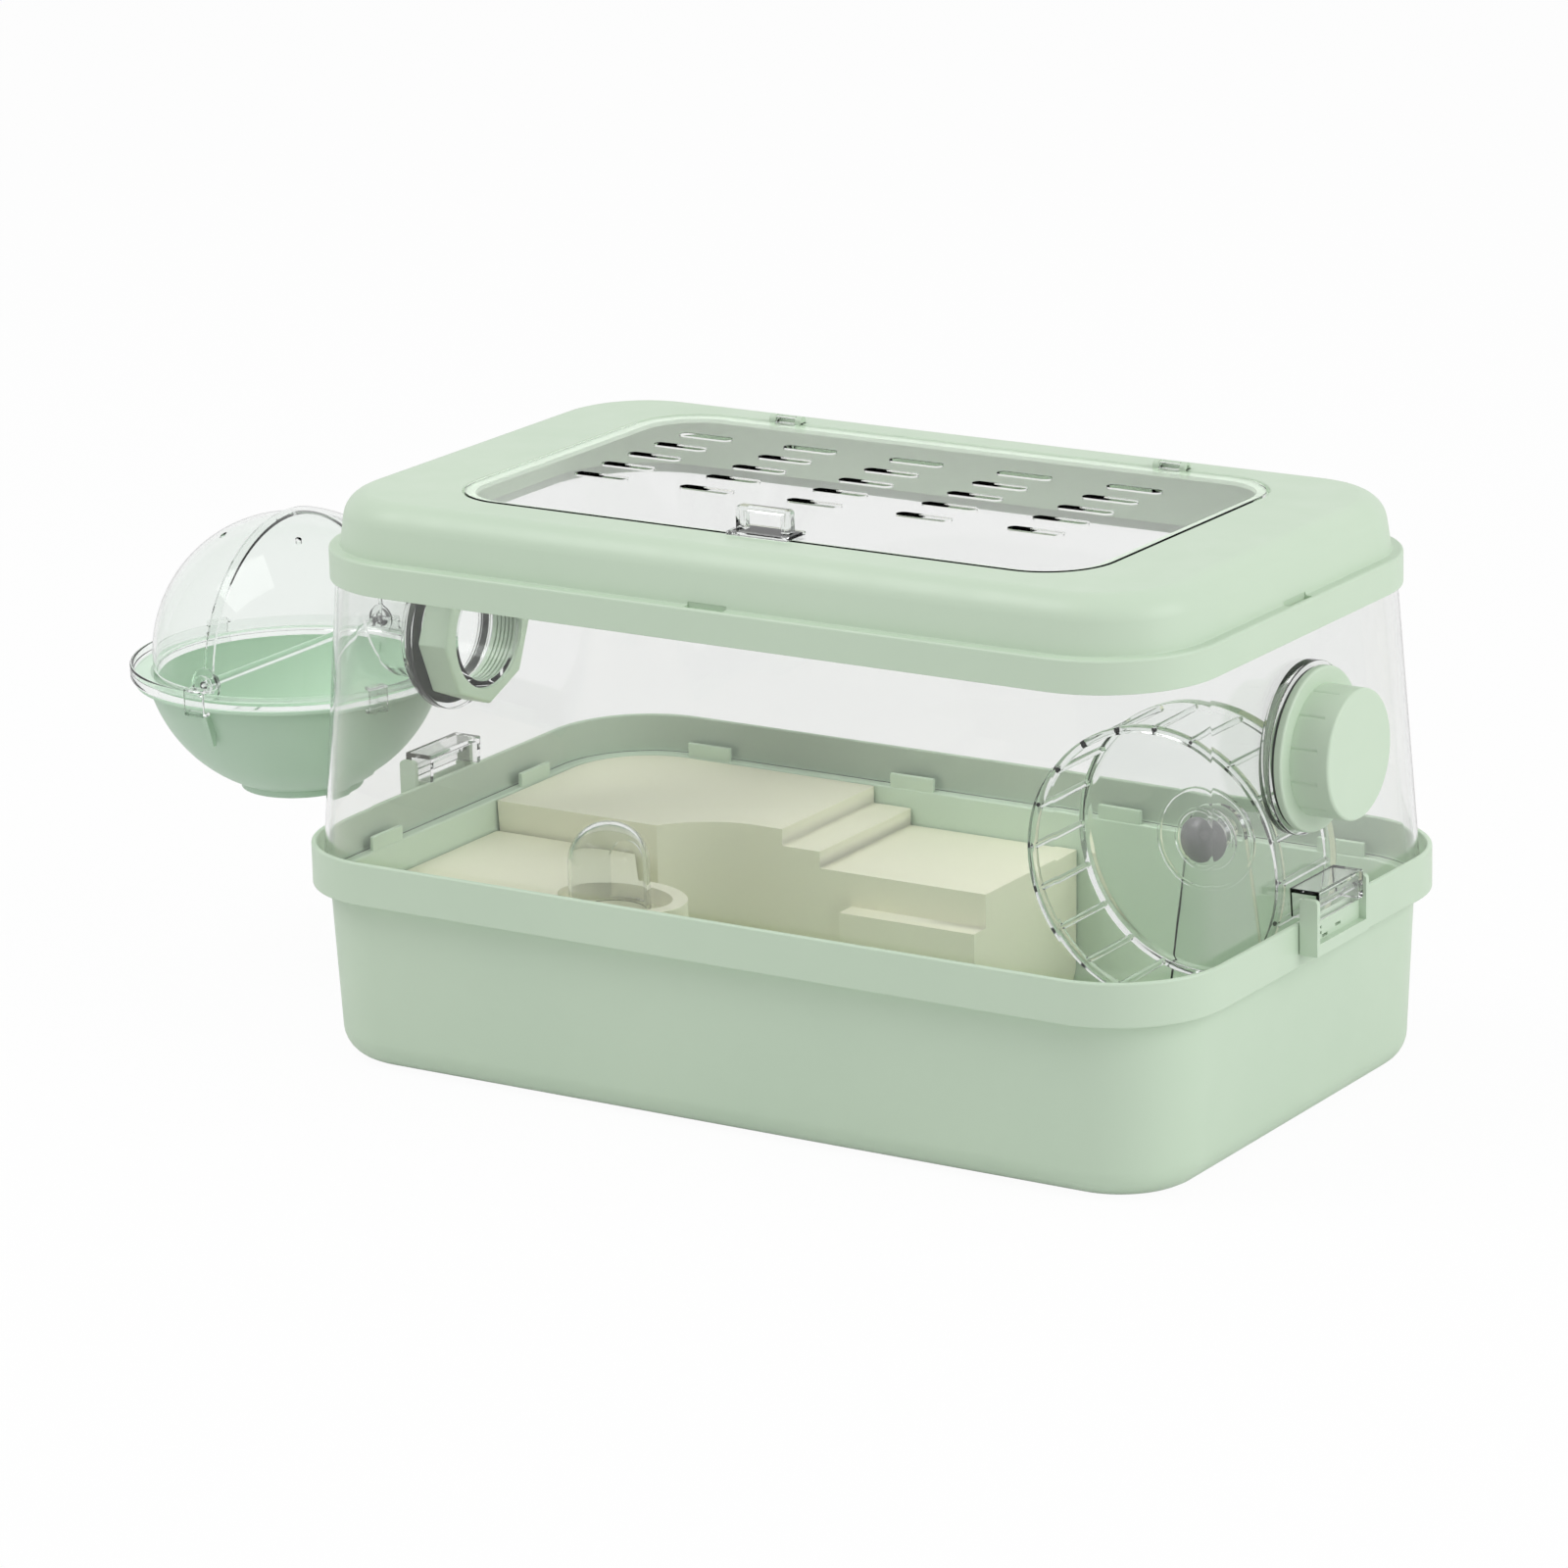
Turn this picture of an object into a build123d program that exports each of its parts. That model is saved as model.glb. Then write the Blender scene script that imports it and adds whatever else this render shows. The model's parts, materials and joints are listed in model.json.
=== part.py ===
from build123d import *
from math import atan, cos, degrees, radians, sin
import os

# Two-tier hamster cage: a deep tray, a clear tapered housing, a framed lid with a flip window,
# stepped platforms, a food trough, a running wheel, a capped port and a ball-shaped outside pod.
# Millimetres. X runs along the long side, Y to the back, Z up.
# The origin is the centre of the tray's underside.

# Tray: a tapered tub whose rim band stands proud of its wall
TRAY_HALF_X = 235.0
TRAY_HALF_Y = 142.0
RIM_RADIUS = 51.5
RIM_BOTTOM = 82.5
RIM_TOP = 102.8
TRAY_WALL = 2.5
BAND_STEP = 8.0
BAND_FILLET = 1.2
TRAY_FLARE = 4.0
LEDGE_TOP = RIM_BOTTOM + TRAY_WALL
BOTTOM_FILLET = 14.0
TAB_LENGTH = 24.0
TAB_THICKNESS = 2.4
TAB_HEIGHT = 6.5
TAB_GAP = 0.2
LONG_SIDE_TABS = (-172.0, -57.0, 57.0, 172.0)
SHORT_SIDE_TABS = (-61.0, 61.0)
CATCH_TOP = 96.4
CATCH_HEIGHT = 1.8
CATCH_DEPTH = 1.8
CATCH_LENGTH = 36.0

# Clear housing: four tapered walls between the tray's ledge and the lid
HOUSING_BOTTOM = 85.2
HOUSING_TOP = 230.7
HOUSING_LOW_X = 230.6
HOUSING_LOW_Y = 137.6
HOUSING_LOW_RADIUS = 48.0
HOUSING_SLOPE = 7.6
HOUSING_TOP_RADIUS = 51.0
HOUSING_WALL = 1.8

# Ports: one hole through each end wall, with a flat collar round it
PORT_Z = 175.5
PORT_BORE = 27.2
COLLAR_RADIUS = 38.6
COLLAR_INNER_X = 222.5
COLLAR_OUTER_X = 228.5
SEAL_THICKNESS = 1.2
SEAL_RADIUS = 36.0
SEAL_BORE = 27.8

# Lid: a band round the housing, a smaller raised body and a rebated window opening
BAND_HALF_X = 225.8
BAND_HALF_Y = 132.8
BAND_RADIUS = 53.5
BAND_BOTTOM = 225.6
BAND_TOP = 240.8
LID_WALL = 2.5
BAND_SEAT = 231.0
SEAT_ROOM = 0.3
BODY_HALF_X = 221.0
BODY_HALF_Y = 128.0
BODY_RADIUS = 49.0
BODY_LEAN = 4.0
LID_TOP = 265.7
LID_TOP_FILLET = 11.0
LIP_BOTTOM = 261.2
LIP_TOP = 263.5
WINDOW_CENTRE_Y = 3.0
REBATE_HALF_X = 167.0
REBATE_HALF_Y = 97.6
REBATE_RADIUS = 32.0
LIP_WIDTH = 6.0
SNAP_LENGTH = 20.0
SNAP_HEIGHT = 3.2
SNAP_DEPTH = 3.0
SNAP_BITE = 0.6

# Flip window, its hinge at the back and its handle at the front
PANEL_BOTTOM = 263.7
PANEL_TOP = 265.9
PANEL_GAP = 0.8
PANEL_BACK_Y = 98.6
SLOT_LENGTH = 28.0
SLOT_WIDTH = 6.0
SLOT_PITCH_X = 57.2
SLOT_PITCH_Y = 21.8
SLOT_CENTRE_X = -6.0
SLOT_CENTRE_Y = 14.5
SLOT_COUNT = 5
HINGE_Y = 101.6
HINGE_Z = 266.4
HINGE_X = 103.0
HINGE_BARREL = 2.4
HINGE_BARREL_LENGTH = 10.0
HINGE_TONGUE = 1.6
HINGE_KNUCKLE = 2.6
HINGE_PIN = 1.2
EAR_THICKNESS = 3.0
EAR_GAP = 0.5
PIN_CLEARANCE = 0.07
HANDLE_X = 7.0
HANDLE_Y = -90.0
HANDLE_WIDTH = 28.0
HANDLE_DEPTH = 5.0
HANDLE_HEIGHT = 12.5
HANDLE_POST = 4.6
HANDLE_BAR = 2.6
HANDLE_FILLET = 2.0
HANDLE_BASE_LENGTH = 32.0
HANDLE_BASE_DEPTH = 16.0
HANDLE_BASE_THICKNESS = 1.8

# Latches: a lever on each end wall turns on a pin in the housing's clear lug
LATCH_PIVOT_X = 239.0
LATCH_PIVOT_Z = 110.0
LATCH_PIN = 1.45
LATCH_HALF_WIDTH = 24.0
LATCH_POST = 2.6
LATCH_PIN_COVER = 0.9
LATCH_INNER_X = 235.6
LATCH_OUTER_X = 244.4
LATCH_BOTTOM = 88.6
LATCH_TOP = 114.2
LATCH_TOP_FILLET = 2.0
LATCH_BAR = 5.5
LATCH_HOOK_X = 235.4
LATCH_PANEL_X = 239.1
LATCH_PANEL = 1.8
LATCH_PANEL_TOP = 102.6
LATCH_SLOT_LENGTH = 4.8
LATCH_SLOT_HEIGHT = 1.4
LATCH_SLOTS = ((-16.0, 99.5), (-16.0, 97.0), (-10.5, 95.2), (1.5, 97.0))
LUG_HALF_WIDTH = 20.4
LUG_BOTTOM = 104.2
LUG_TOP = 117.2
LUG_OUTER_X = 243.4
LUG_WALL = 2.4

# Platforms: hollow mouldings that stand on the tray floor
PLATFORM_WALL = 2.0
PLATFORM_GAP = 1.0
UPPER_TOP = 84.4
TREAD_TOP = 76.3
LOWER_TOP = 68.2
STEP_TOP = 52.0
STEP_LEFT_X = -39.5
UPPER_RIGHT_X = -77.0
TREAD_RIGHT_X = -56.3
LOWER_RIGHT_X = 33.5
STEP_DEPTH = 11.0
PLATFORM_FRONT_Y = 48.3
UPPER_FRONT_Y = 26.0
BAY_CENTRE = (-90.0, -3.0)
BAY_RADIUS = 51.5
FRONT_TOP = 70.0
FRONT_BACK_Y = 24.0
FRONT_BACK_X = -142.0
FRONT_WAIST_X = -117.0
TROUGH_CENTRE = (-113.0, -39.0)
TROUGH_HALF_LENGTH = 29.0
TROUGH_HALF_WIDTH = 20.0
TROUGH_RIM = 7.0
TROUGH_FLOOR = 62.0
HOOD_CENTRE = (-116.0, -39.0)
HOOD_RADIUS = 19.0
HOOD_WALL = 1.6
HOOD_HEIGHT = 43.0
HOOD_DOOR_WIDTH = 20.0
HOOD_DOOR_HEIGHT = 30.0
HOOD_FOOT = 2.0
HOOD_GAP = 0.2

# Running wheel: a drum of bars between a front ring and a back disc, on a standing bracket
WHEEL_X = 161.0
WHEEL_Z = 118.0
WHEEL_RADIUS = 63.5
WHEEL_FRONT_Y = -22.0
WHEEL_BACK_Y = 30.0
WHEEL_RING = 3.4
WHEEL_RING_DEPTH = 5.0
WHEEL_DISC = 2.4
RUNG_COUNT = 20
RUNG_RADIUS = 1.5
DISC_RING_RADII = (13.5, 23.0)
DISC_RING_WIDTH = 1.8
DISC_RING_HEIGHT = 1.4
AXLE_RADIUS = 3.0
BUSH_BORE = 3.06
BUSH_RADIUS = 5.0
HUB_BOSS_RADIUS = 8.0
HUB_BOSS_FRONT = 1.6
HUB_BOSS_BACK = 4.0
HUB_CAP_GAP = 0.4
HUB_CAP_RADIUS = 11.0
HUB_CAP_HEIGHT = 6.5
AXLE_INSET = 3.0
STAND_FRONT_Y = 37.0
STAND_THICKNESS = 4.0
STAND_BASE_HALF_X = 38.0
STAND_BASE_FRONT_Y = -18.0
STAND_BASE_BACK_Y = 62.0
STAND_BASE_THICKNESS = 3.0
STAND_BASE_FILLET = 12.0
STAND_FOOT_HALF_X = 30.0
STAND_TOP_RADIUS = 13.0
STAND_BOSS_RADIUS = 6.5
STAND_BOSS = 4.0
GUSSET_X = 16.0
GUSSET_DEPTH = 20.0
GUSSET_HEIGHT = 34.0
GUSSET_THICKNESS = 3.0

# Port cap on the right end wall
CAP_FLANGE_RADIUS = 36.8
CAP_FLANGE = 4.0
CAP_RADIUS = 29.2
CAP_FACE_X = 252.6
CAP_FACE_WALL = 2.5
CAP_FACE_FILLET = 1.4
CAP_PLUG_RADIUS = 26.8
CAP_INNER_RADIUS = 24.2
CAP_PLUG_END_X = 219.0
CAP_GROOVES = 12
CAP_GROOVE_RADIUS = 0.8
CAP_GROOVE_REACH = 0.7

# Pod on the left end wall: a bowl, a fixed quarter dome with its neck, and a turning door
POD_X = -321.0
POD_Z = 152.0
DOME_RADIUS = 69.6
DOME_WALL = 1.6
DOOR_RADIUS = 67.5
DOOR_WALL = 1.5
DOOR_BOTTOM = 147.6
DOOR_LAP = 2.5
DOOR_LOBE = 4.2
POD_RING_BOTTOM = 143.0
POD_RING_TOP = 146.6
POD_LIP_TOP = 150.0
POD_LIP = 1.8
POD_RING_RADIUS = 78.5
POD_RING_INNER = 65.5
BOWL_RADIUS = 72.0
BOWL_CENTRE_Z = 156.0
BOWL_TOP = 142.8
BOWL_WALL = 2.0
BOWL_FLANGE_RADIUS = 76.5
BOWL_FLANGE = 2.2
RIB_FOOT = 60.0
RIB_TOE = 64.0
RIB_TOP_REACH = 73.5
RIB_HEIGHT = 17.0
RIB_WIDTH = 3.2
FOOT_RADIUS = 28.0
FOOT_WALL = 2.5
FOOT_BOTTOM = 86.6
FOOT_TOP = 93.0
BOWL_FLOOR = 91.5
POD_PIN_RADIUS = 2.0
POD_KNOB_RADIUS = 5.0
POD_KNOB = 3.0
EAR_RADIUS = 8.0
EAR_BOSS = 1.0
VENT_RADIUS = 1.5
VENT_REACH = 22.0
NECK_RADIUS = 26.7
NECK_BORE = 23.6
NECK_END_X = -207.4
NECK_FLANGE_RADIUS = 36.0
NECK_FLANGE = 2.5
CLIP_ANGLES = (-25.0, 90.0, 155.0, 270.0)
CLIP_INNER = 74.6
CLIP_WIDTH = 11.0
CLIP_WALL = 1.8
CLIP_GAP = 0.2
NUT_ACROSS_FLATS = 64.8
NUT_SIDES = 8
NUT_LENGTH = 16.0
NUT_BORE = 27.0
NUT_CHAMFER = 1.2
NUT_WALL_GAP = 0.3
NUT_GROOVES = 6
NUT_GROOVE_DEPTH = 1.0
NUT_GROOVE_WIDTH = 0.8
NUT_GROOVE_PITCH = 2.2


def block(x_low, x_high, y_low, y_high, z_low, z_high):
    """A box given by its lowest and highest corners."""
    size = (x_high - x_low, y_high - y_low, z_high - z_low)
    return Pos(x_low, y_low, z_low) * Box(*size, align=(Align.MIN, Align.MIN, Align.MIN))


def plate(half_x, half_y, radius, z_low, z_high, centre_y=0.0, lean=0.0):
    """A rounded rectangle raised from z_low to z_high; its walls lean in by lean over that height."""
    outline = Pos(0, centre_y, z_low) * RectangleRounded(2 * half_x, 2 * half_y, radius)
    taper = degrees(atan(lean / (z_high - z_low)))
    return extrude(outline, amount=z_high - z_low, taper=taper)


def span(side, near, far):
    """Two distances from the middle as coordinates on one side of it, the lower one first."""
    return sorted((side * near, side * far))


def along_x(radius, x_low, x_high, y=0.0, z=PORT_Z):
    """A cylinder whose axis runs along X."""
    length = x_high - x_low
    return Pos((x_low + x_high) / 2, y, z) * Rot(0, 90, 0) * Cylinder(radius, length)


def along_y(radius, y_low, y_high, x, z):
    """A cylinder whose axis runs along Y."""
    length = y_high - y_low
    return Pos(x, (y_low + y_high) / 2, z) * Rot(90, 0, 0) * Cylinder(radius, length)


def along_z(radius, z_low, z_high, x, y):
    """A cylinder whose axis runs along Z."""
    return Pos(x, y, (z_low + z_high) / 2) * Cylinder(radius, z_high - z_low)


def ball(radius, x, y, z):
    return Pos(x, y, z) * Sphere(radius)


def pod_ball(radius):
    """A sphere round the pod's pivot line, with its poles on that line and its seam underneath."""
    return Pos(POD_X, 0, POD_Z) * Rot(0, 0, 90) * Rot(0, 90, 0) * Sphere(radius)


def tray_cavity(shrink=0.0, top=LEDGE_TOP):
    """The space inside the tray's wall, drawn in by shrink on every side."""
    inset = BAND_STEP + TRAY_FLARE + TRAY_WALL + shrink
    rise = top - TRAY_WALL
    space = plate(
        TRAY_HALF_X - inset,
        TRAY_HALF_Y - inset,
        RIM_RADIUS - inset,
        TRAY_WALL,
        top,
        lean=-TRAY_FLARE * rise / RIM_BOTTOM,
    )
    floor_edges = space.edges().group_by(Axis.Z)[0]
    return fillet(floor_edges, BOTTOM_FILLET - TRAY_WALL)


def tray():
    inset = BAND_STEP + TRAY_FLARE
    tub = plate(
        TRAY_HALF_X - inset,
        TRAY_HALF_Y - inset,
        RIM_RADIUS - inset,
        0,
        RIM_BOTTOM,
        lean=-TRAY_FLARE,
    )
    tub = fillet(tub.edges().group_by(Axis.Z)[0], BOTTOM_FILLET)
    band = plate(TRAY_HALF_X, TRAY_HALF_Y, RIM_RADIUS, RIM_BOTTOM, RIM_TOP)
    band = fillet(band.edges().group_by(Axis.Z)[-1], BAND_FILLET)
    band_inside = plate(
        TRAY_HALF_X - TRAY_WALL,
        TRAY_HALF_Y - TRAY_WALL,
        RIM_RADIUS - TRAY_WALL,
        LEDGE_TOP,
        RIM_TOP + 1,
    )
    body = tub + band - band_inside - tray_cavity()
    for side in (-1, 1):
        body += tray_tabs(side) + tray_catch(side)
    return body


def tray_tabs(side):
    """Upright tabs on the ledge, along one long side and one short side."""
    tab_x = TRAY_HALF_X - BAND_STEP - TRAY_WALL + TAB_GAP
    tab_y = TRAY_HALF_Y - BAND_STEP - TRAY_WALL + TAB_GAP
    bottom = LEDGE_TOP - 1
    top = LEDGE_TOP + TAB_HEIGHT
    half = TAB_LENGTH / 2
    near, far = span(side, tab_y, tab_y + TAB_THICKNESS)
    tabs = Part() + [block(x - half, x + half, near, far, bottom, top) for x in LONG_SIDE_TABS]
    near, far = span(side, tab_x, tab_x + TAB_THICKNESS)
    return tabs + [block(near, far, y - half, y + half, bottom, top) for y in SHORT_SIDE_TABS]


def tray_catch(side):
    """The ridge on one end of the rim that a latch hooks under."""
    near, far = span(side, TRAY_HALF_X - 1, TRAY_HALF_X + CATCH_DEPTH)
    return block(near, far, -CATCH_LENGTH / 2, CATCH_LENGTH / 2, CATCH_TOP - CATCH_HEIGHT, CATCH_TOP)


def housing_solid(shrink, z_low, z_high):
    """The housing's tapered outline as a solid between two heights."""
    sections = []
    for z in (z_low, z_high):
        share = (z - HOUSING_BOTTOM) / (HOUSING_TOP - HOUSING_BOTTOM)
        half_x = HOUSING_LOW_X - HOUSING_SLOPE * share - shrink
        half_y = HOUSING_LOW_Y - HOUSING_SLOPE * share - shrink
        radius = HOUSING_LOW_RADIUS + (HOUSING_TOP_RADIUS - HOUSING_LOW_RADIUS) * share - shrink
        sections.append(Pos(0, 0, z) * RectangleRounded(2 * half_x, 2 * half_y, radius))
    return loft(sections, ruled=True)


def latch_lug(side):
    """A hollow clear block on the end wall that carries the latch pin."""
    inner_x = COLLAR_OUTER_X - 2
    half = LUG_HALF_WIDTH
    low, high = span(side, inner_x, LUG_OUTER_X)
    lug = block(low, high, -half, half, LUG_BOTTOM, LUG_TOP)
    low, high = span(side, inner_x - 1, LUG_OUTER_X - LUG_WALL)
    lug -= block(low, high, LUG_WALL - half, half - LUG_WALL, LUG_BOTTOM - 1, LUG_TOP - LUG_WALL)
    return lug - along_y(LATCH_PIN, -half - 1, half + 1, side * LATCH_PIVOT_X, LATCH_PIVOT_Z)


def clear_housing():
    outside = housing_solid(0.0, HOUSING_BOTTOM, HOUSING_TOP)
    inside = housing_solid(HOUSING_WALL, HOUSING_BOTTOM - 1, HOUSING_TOP + 1)
    walls = outside - inside
    for side in (-1, 1):
        walls += latch_lug(side) - inside
        low, high = span(side, COLLAR_INNER_X, COLLAR_OUTER_X)
        walls += along_x(COLLAR_RADIUS, low, high)
        walls -= along_x(PORT_BORE, low - 4, high + 4)
    return walls


def port_seal(side):
    """The soft ring between a wall collar and the flange that presses on it."""
    low, high = span(side, COLLAR_OUTER_X, COLLAR_OUTER_X + SEAL_THICKNESS)
    return along_x(SEAL_RADIUS, low, high) - along_x(SEAL_BORE, low - 1, high + 1)


def lid_frame():
    band = plate(BAND_HALF_X, BAND_HALF_Y, BAND_RADIUS, BAND_BOTTOM, BAND_TOP)
    band = fillet(band.edges().group_by(Axis.Z)[-1], BAND_FILLET)
    body = plate(BODY_HALF_X, BODY_HALF_Y, BODY_RADIUS, BAND_TOP - 2, LID_TOP, lean=BODY_LEAN)
    body = fillet(body.edges().group_by(Axis.Z)[-1], LID_TOP_FILLET)
    seat = plate(
        BAND_HALF_X - LID_WALL + SEAT_ROOM,
        BAND_HALF_Y - LID_WALL + SEAT_ROOM,
        BAND_RADIUS - LID_WALL,
        BAND_BOTTOM - 1,
        BAND_SEAT,
    )
    cavity = plate(
        BODY_HALF_X - LID_WALL,
        BODY_HALF_Y - LID_WALL,
        BODY_RADIUS - LID_WALL,
        BAND_SEAT - 1,
        LID_TOP - LID_WALL,
        lean=BODY_LEAN,
    )
    cavity = fillet(cavity.edges().group_by(Axis.Z)[-1], LID_TOP_FILLET - LID_WALL)
    frame = (band + body - seat - cavity) + window_lip(LIP_WIDTH, LIP_BOTTOM, LIP_TOP)
    frame -= window_lip(-LIP_WIDTH, LIP_BOTTOM - 1, LID_TOP + 1)
    frame -= window_lip(0.0, LIP_TOP, LID_TOP + 1)
    for side in (-1, 1):
        frame -= snap_notches(side)
    for x in (-HINGE_X, HINGE_X):
        frame += hinge_ears(x)
        reach = HINGE_BARREL_LENGTH / 2 + EAR_GAP
        frame -= block(x - reach, x + reach, PANEL_BACK_Y - 1, HINGE_Y + 3, LIP_BOTTOM - 1, LID_TOP + 4)
        frame -= Pos(x, HINGE_Y, HINGE_Z) * hinge_pin()
    return frame


def window_lip(grow, z_low, z_high):
    """The window's rebate outline, grown or shrunk, between two heights."""
    half_x = REBATE_HALF_X + grow
    half_y = REBATE_HALF_Y + grow
    return plate(half_x, half_y, REBATE_RADIUS + grow, z_low, z_high, WINDOW_CENTRE_Y)


def snap_notches(side):
    """The notches in one long and one short side, where the lid's snaps show."""
    half = SNAP_LENGTH / 2
    bottom = BAND_TOP - SNAP_HEIGHT / 2
    top = BAND_TOP + SNAP_HEIGHT / 2
    low, high = span(side, BODY_HALF_Y - SNAP_BITE, BODY_HALF_Y + SNAP_DEPTH)
    notches = block(-half, half, low, high, bottom, top)
    low, high = span(side, BODY_HALF_X - SNAP_BITE, BODY_HALF_X + SNAP_DEPTH)
    return notches + block(low, high, -half, half, bottom, top)


def hinge_ears(x):
    """Two small uprights on the lid, one at each end of a hinge barrel."""
    ears = Part()
    radius = HINGE_KNUCKLE
    for side in (-1, 1):
        inner = x + side * (HINGE_BARREL_LENGTH / 2 + EAR_GAP)
        low, high = sorted((inner, inner + side * EAR_THICKNESS))
        foot = block(low, high, HINGE_Y - radius, HINGE_Y + radius, LID_TOP - LID_WALL, HINGE_Z)
        ears += foot + along_x(radius, low, high, HINGE_Y, HINGE_Z)
    return ears


def hinge_pin():
    length = HINGE_BARREL_LENGTH + 2 * EAR_GAP + 2 * EAR_THICKNESS
    return Rot(0, 90, 0) * Cylinder(HINGE_PIN, length)


def window_hinge_pins():
    return Compound(children=[Pos(x, HINGE_Y, HINGE_Z) * hinge_pin() for x in (-HINGE_X, HINGE_X)])


def window_panel():
    front_y = WINDOW_CENTRE_Y - REBATE_HALF_Y + PANEL_GAP
    half_y = (PANEL_BACK_Y - front_y) / 2
    centre_y = (PANEL_BACK_Y + front_y) / 2
    half_x = REBATE_HALF_X - PANEL_GAP
    panel = plate(half_x, half_y, REBATE_RADIUS - PANEL_GAP, PANEL_BOTTOM, PANEL_TOP, centre_y)
    places = GridLocations(SLOT_PITCH_X, SLOT_PITCH_Y, SLOT_COUNT, SLOT_COUNT)
    outlines = places * SlotOverall(SLOT_LENGTH, SLOT_WIDTH)
    for outline in outlines:
        placed = Pos(SLOT_CENTRE_X, SLOT_CENTRE_Y, PANEL_BOTTOM - 1) * outline
        panel -= extrude(placed, amount=PANEL_TOP - PANEL_BOTTOM + 2)
    half_barrel = HINGE_BARREL_LENGTH / 2
    tongue_bottom = PANEL_TOP - HINGE_TONGUE
    for x in (-HINGE_X, HINGE_X):
        low, high = x - half_barrel, x + half_barrel
        panel += along_x(HINGE_BARREL, low, high, HINGE_Y, HINGE_Z)
        panel += block(low, high, PANEL_BACK_Y - 2, HINGE_Y, tongue_bottom, PANEL_TOP)
        panel -= along_x(HINGE_PIN + PIN_CLEARANCE, low - 5, high + 5, HINGE_Y, HINGE_Z)
    return panel


def window_handle():
    base_half = HANDLE_BASE_LENGTH / 2
    depth_half = HANDLE_BASE_DEPTH / 2
    base_top = PANEL_TOP + HANDLE_BASE_THICKNESS
    base = block(
        HANDLE_X - base_half,
        HANDLE_X + base_half,
        HANDLE_Y - depth_half,
        HANDLE_Y + depth_half,
        PANEL_TOP,
        base_top,
    )
    half = HANDLE_WIDTH / 2
    deep = HANDLE_DEPTH / 2
    top = PANEL_TOP + HANDLE_HEIGHT
    bow = block(HANDLE_X - half, HANDLE_X + half, HANDLE_Y - deep, HANDLE_Y + deep, base_top - 0.5, top)
    bow = fillet(bow.edges().filter_by(Axis.Y).group_by(Axis.Z)[-1], HANDLE_FILLET)
    bow -= block(
        HANDLE_X - half + HANDLE_POST,
        HANDLE_X + half - HANDLE_POST,
        HANDLE_Y - deep - 1,
        HANDLE_Y + deep + 1,
        base_top,
        top - HANDLE_BAR,
    )
    return base + bow


def latch_lever(side):
    """A U-shaped lever: two posts, a bottom bar that hooks under the catch, and a recessed panel."""
    lever = Part()
    for end in (-1, 1):
        low, high = span(end, LATCH_HALF_WIDTH - LATCH_POST, LATCH_HALF_WIDTH)
        post = block(LATCH_INNER_X, LATCH_OUTER_X, low, high, LATCH_BOTTOM, LATCH_TOP)
        lever += fillet(post.edges().filter_by(Axis.Y).group_by(Axis.Z)[-1], LATCH_TOP_FILLET)
    inner_y = LATCH_HALF_WIDTH - LATCH_POST + 0.5
    bar_top = LATCH_BOTTOM + LATCH_BAR
    lever += block(LATCH_HOOK_X, LATCH_OUTER_X, -inner_y, inner_y, LATCH_BOTTOM, bar_top)
    panel_x = LATCH_PANEL_X + LATCH_PANEL
    lever += block(LATCH_PANEL_X, panel_x, -inner_y, inner_y, bar_top - 0.5, LATCH_PANEL_TOP)
    half_length = LATCH_SLOT_LENGTH / 2
    half_height = LATCH_SLOT_HEIGHT / 2
    for y, z in LATCH_SLOTS:
        lever -= block(
            LATCH_PANEL_X - 1, panel_x + 1, y - half_length, y + half_length, z - half_height, z + half_height
        )
    reach = LATCH_HALF_WIDTH - LATCH_PIN_COVER
    lever -= along_y(LATCH_PIN + PIN_CLEARANCE, -reach, reach, LATCH_PIVOT_X, LATCH_PIVOT_Z)
    return lever if side > 0 else lever.mirror(Plane.YZ)


def latch_pins():
    reach = LATCH_HALF_WIDTH - LATCH_PIN_COVER - 0.2
    pins = [along_y(LATCH_PIN, -reach, reach, side * LATCH_PIVOT_X, LATCH_PIVOT_Z) for side in (-1, 1)]
    return Compound(children=pins)


def prism(outline, z_top):
    return extrude(Pos(0, 0, TRAY_WALL) * outline, amount=z_top - TRAY_WALL)


def rectangle(x_low, x_high, y_low, y_high):
    width = x_high - x_low
    depth = y_high - y_low
    return Pos((x_low + x_high) / 2, (y_low + y_high) / 2) * Rectangle(width, depth)


def tiers(inset, space):
    """The stepped platform's solid, with every wall and top drawn in by inset."""
    far = TRAY_HALF_X
    front = PLATFORM_FRONT_Y + inset
    bay = Pos(*BAY_CENTRE) * Circle(BAY_RADIUS + inset)
    upper = rectangle(-far, UPPER_RIGHT_X - inset, UPPER_FRONT_Y + inset, far) - bay
    upper -= rectangle(BAY_CENTRE[0], far, -far, front)
    tread = rectangle(UPPER_RIGHT_X - 5, TREAD_RIGHT_X - inset, front, far)
    lower = rectangle(TREAD_RIGHT_X - 5, LOWER_RIGHT_X - inset, front, far)
    step = rectangle(STEP_LEFT_X + inset, LOWER_RIGHT_X - inset, front - STEP_DEPTH, front + 5)
    shape = prism(upper, UPPER_TOP - inset) + prism(tread, TREAD_TOP - inset)
    shape = shape + prism(lower, LOWER_TOP - inset) + prism(step, STEP_TOP - inset)
    return shape & space


def platform_upper():
    shell = tiers(0.0, tray_cavity(PLATFORM_GAP))
    return shell - tiers(PLATFORM_WALL, tray_cavity(PLATFORM_GAP + PLATFORM_WALL))


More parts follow.
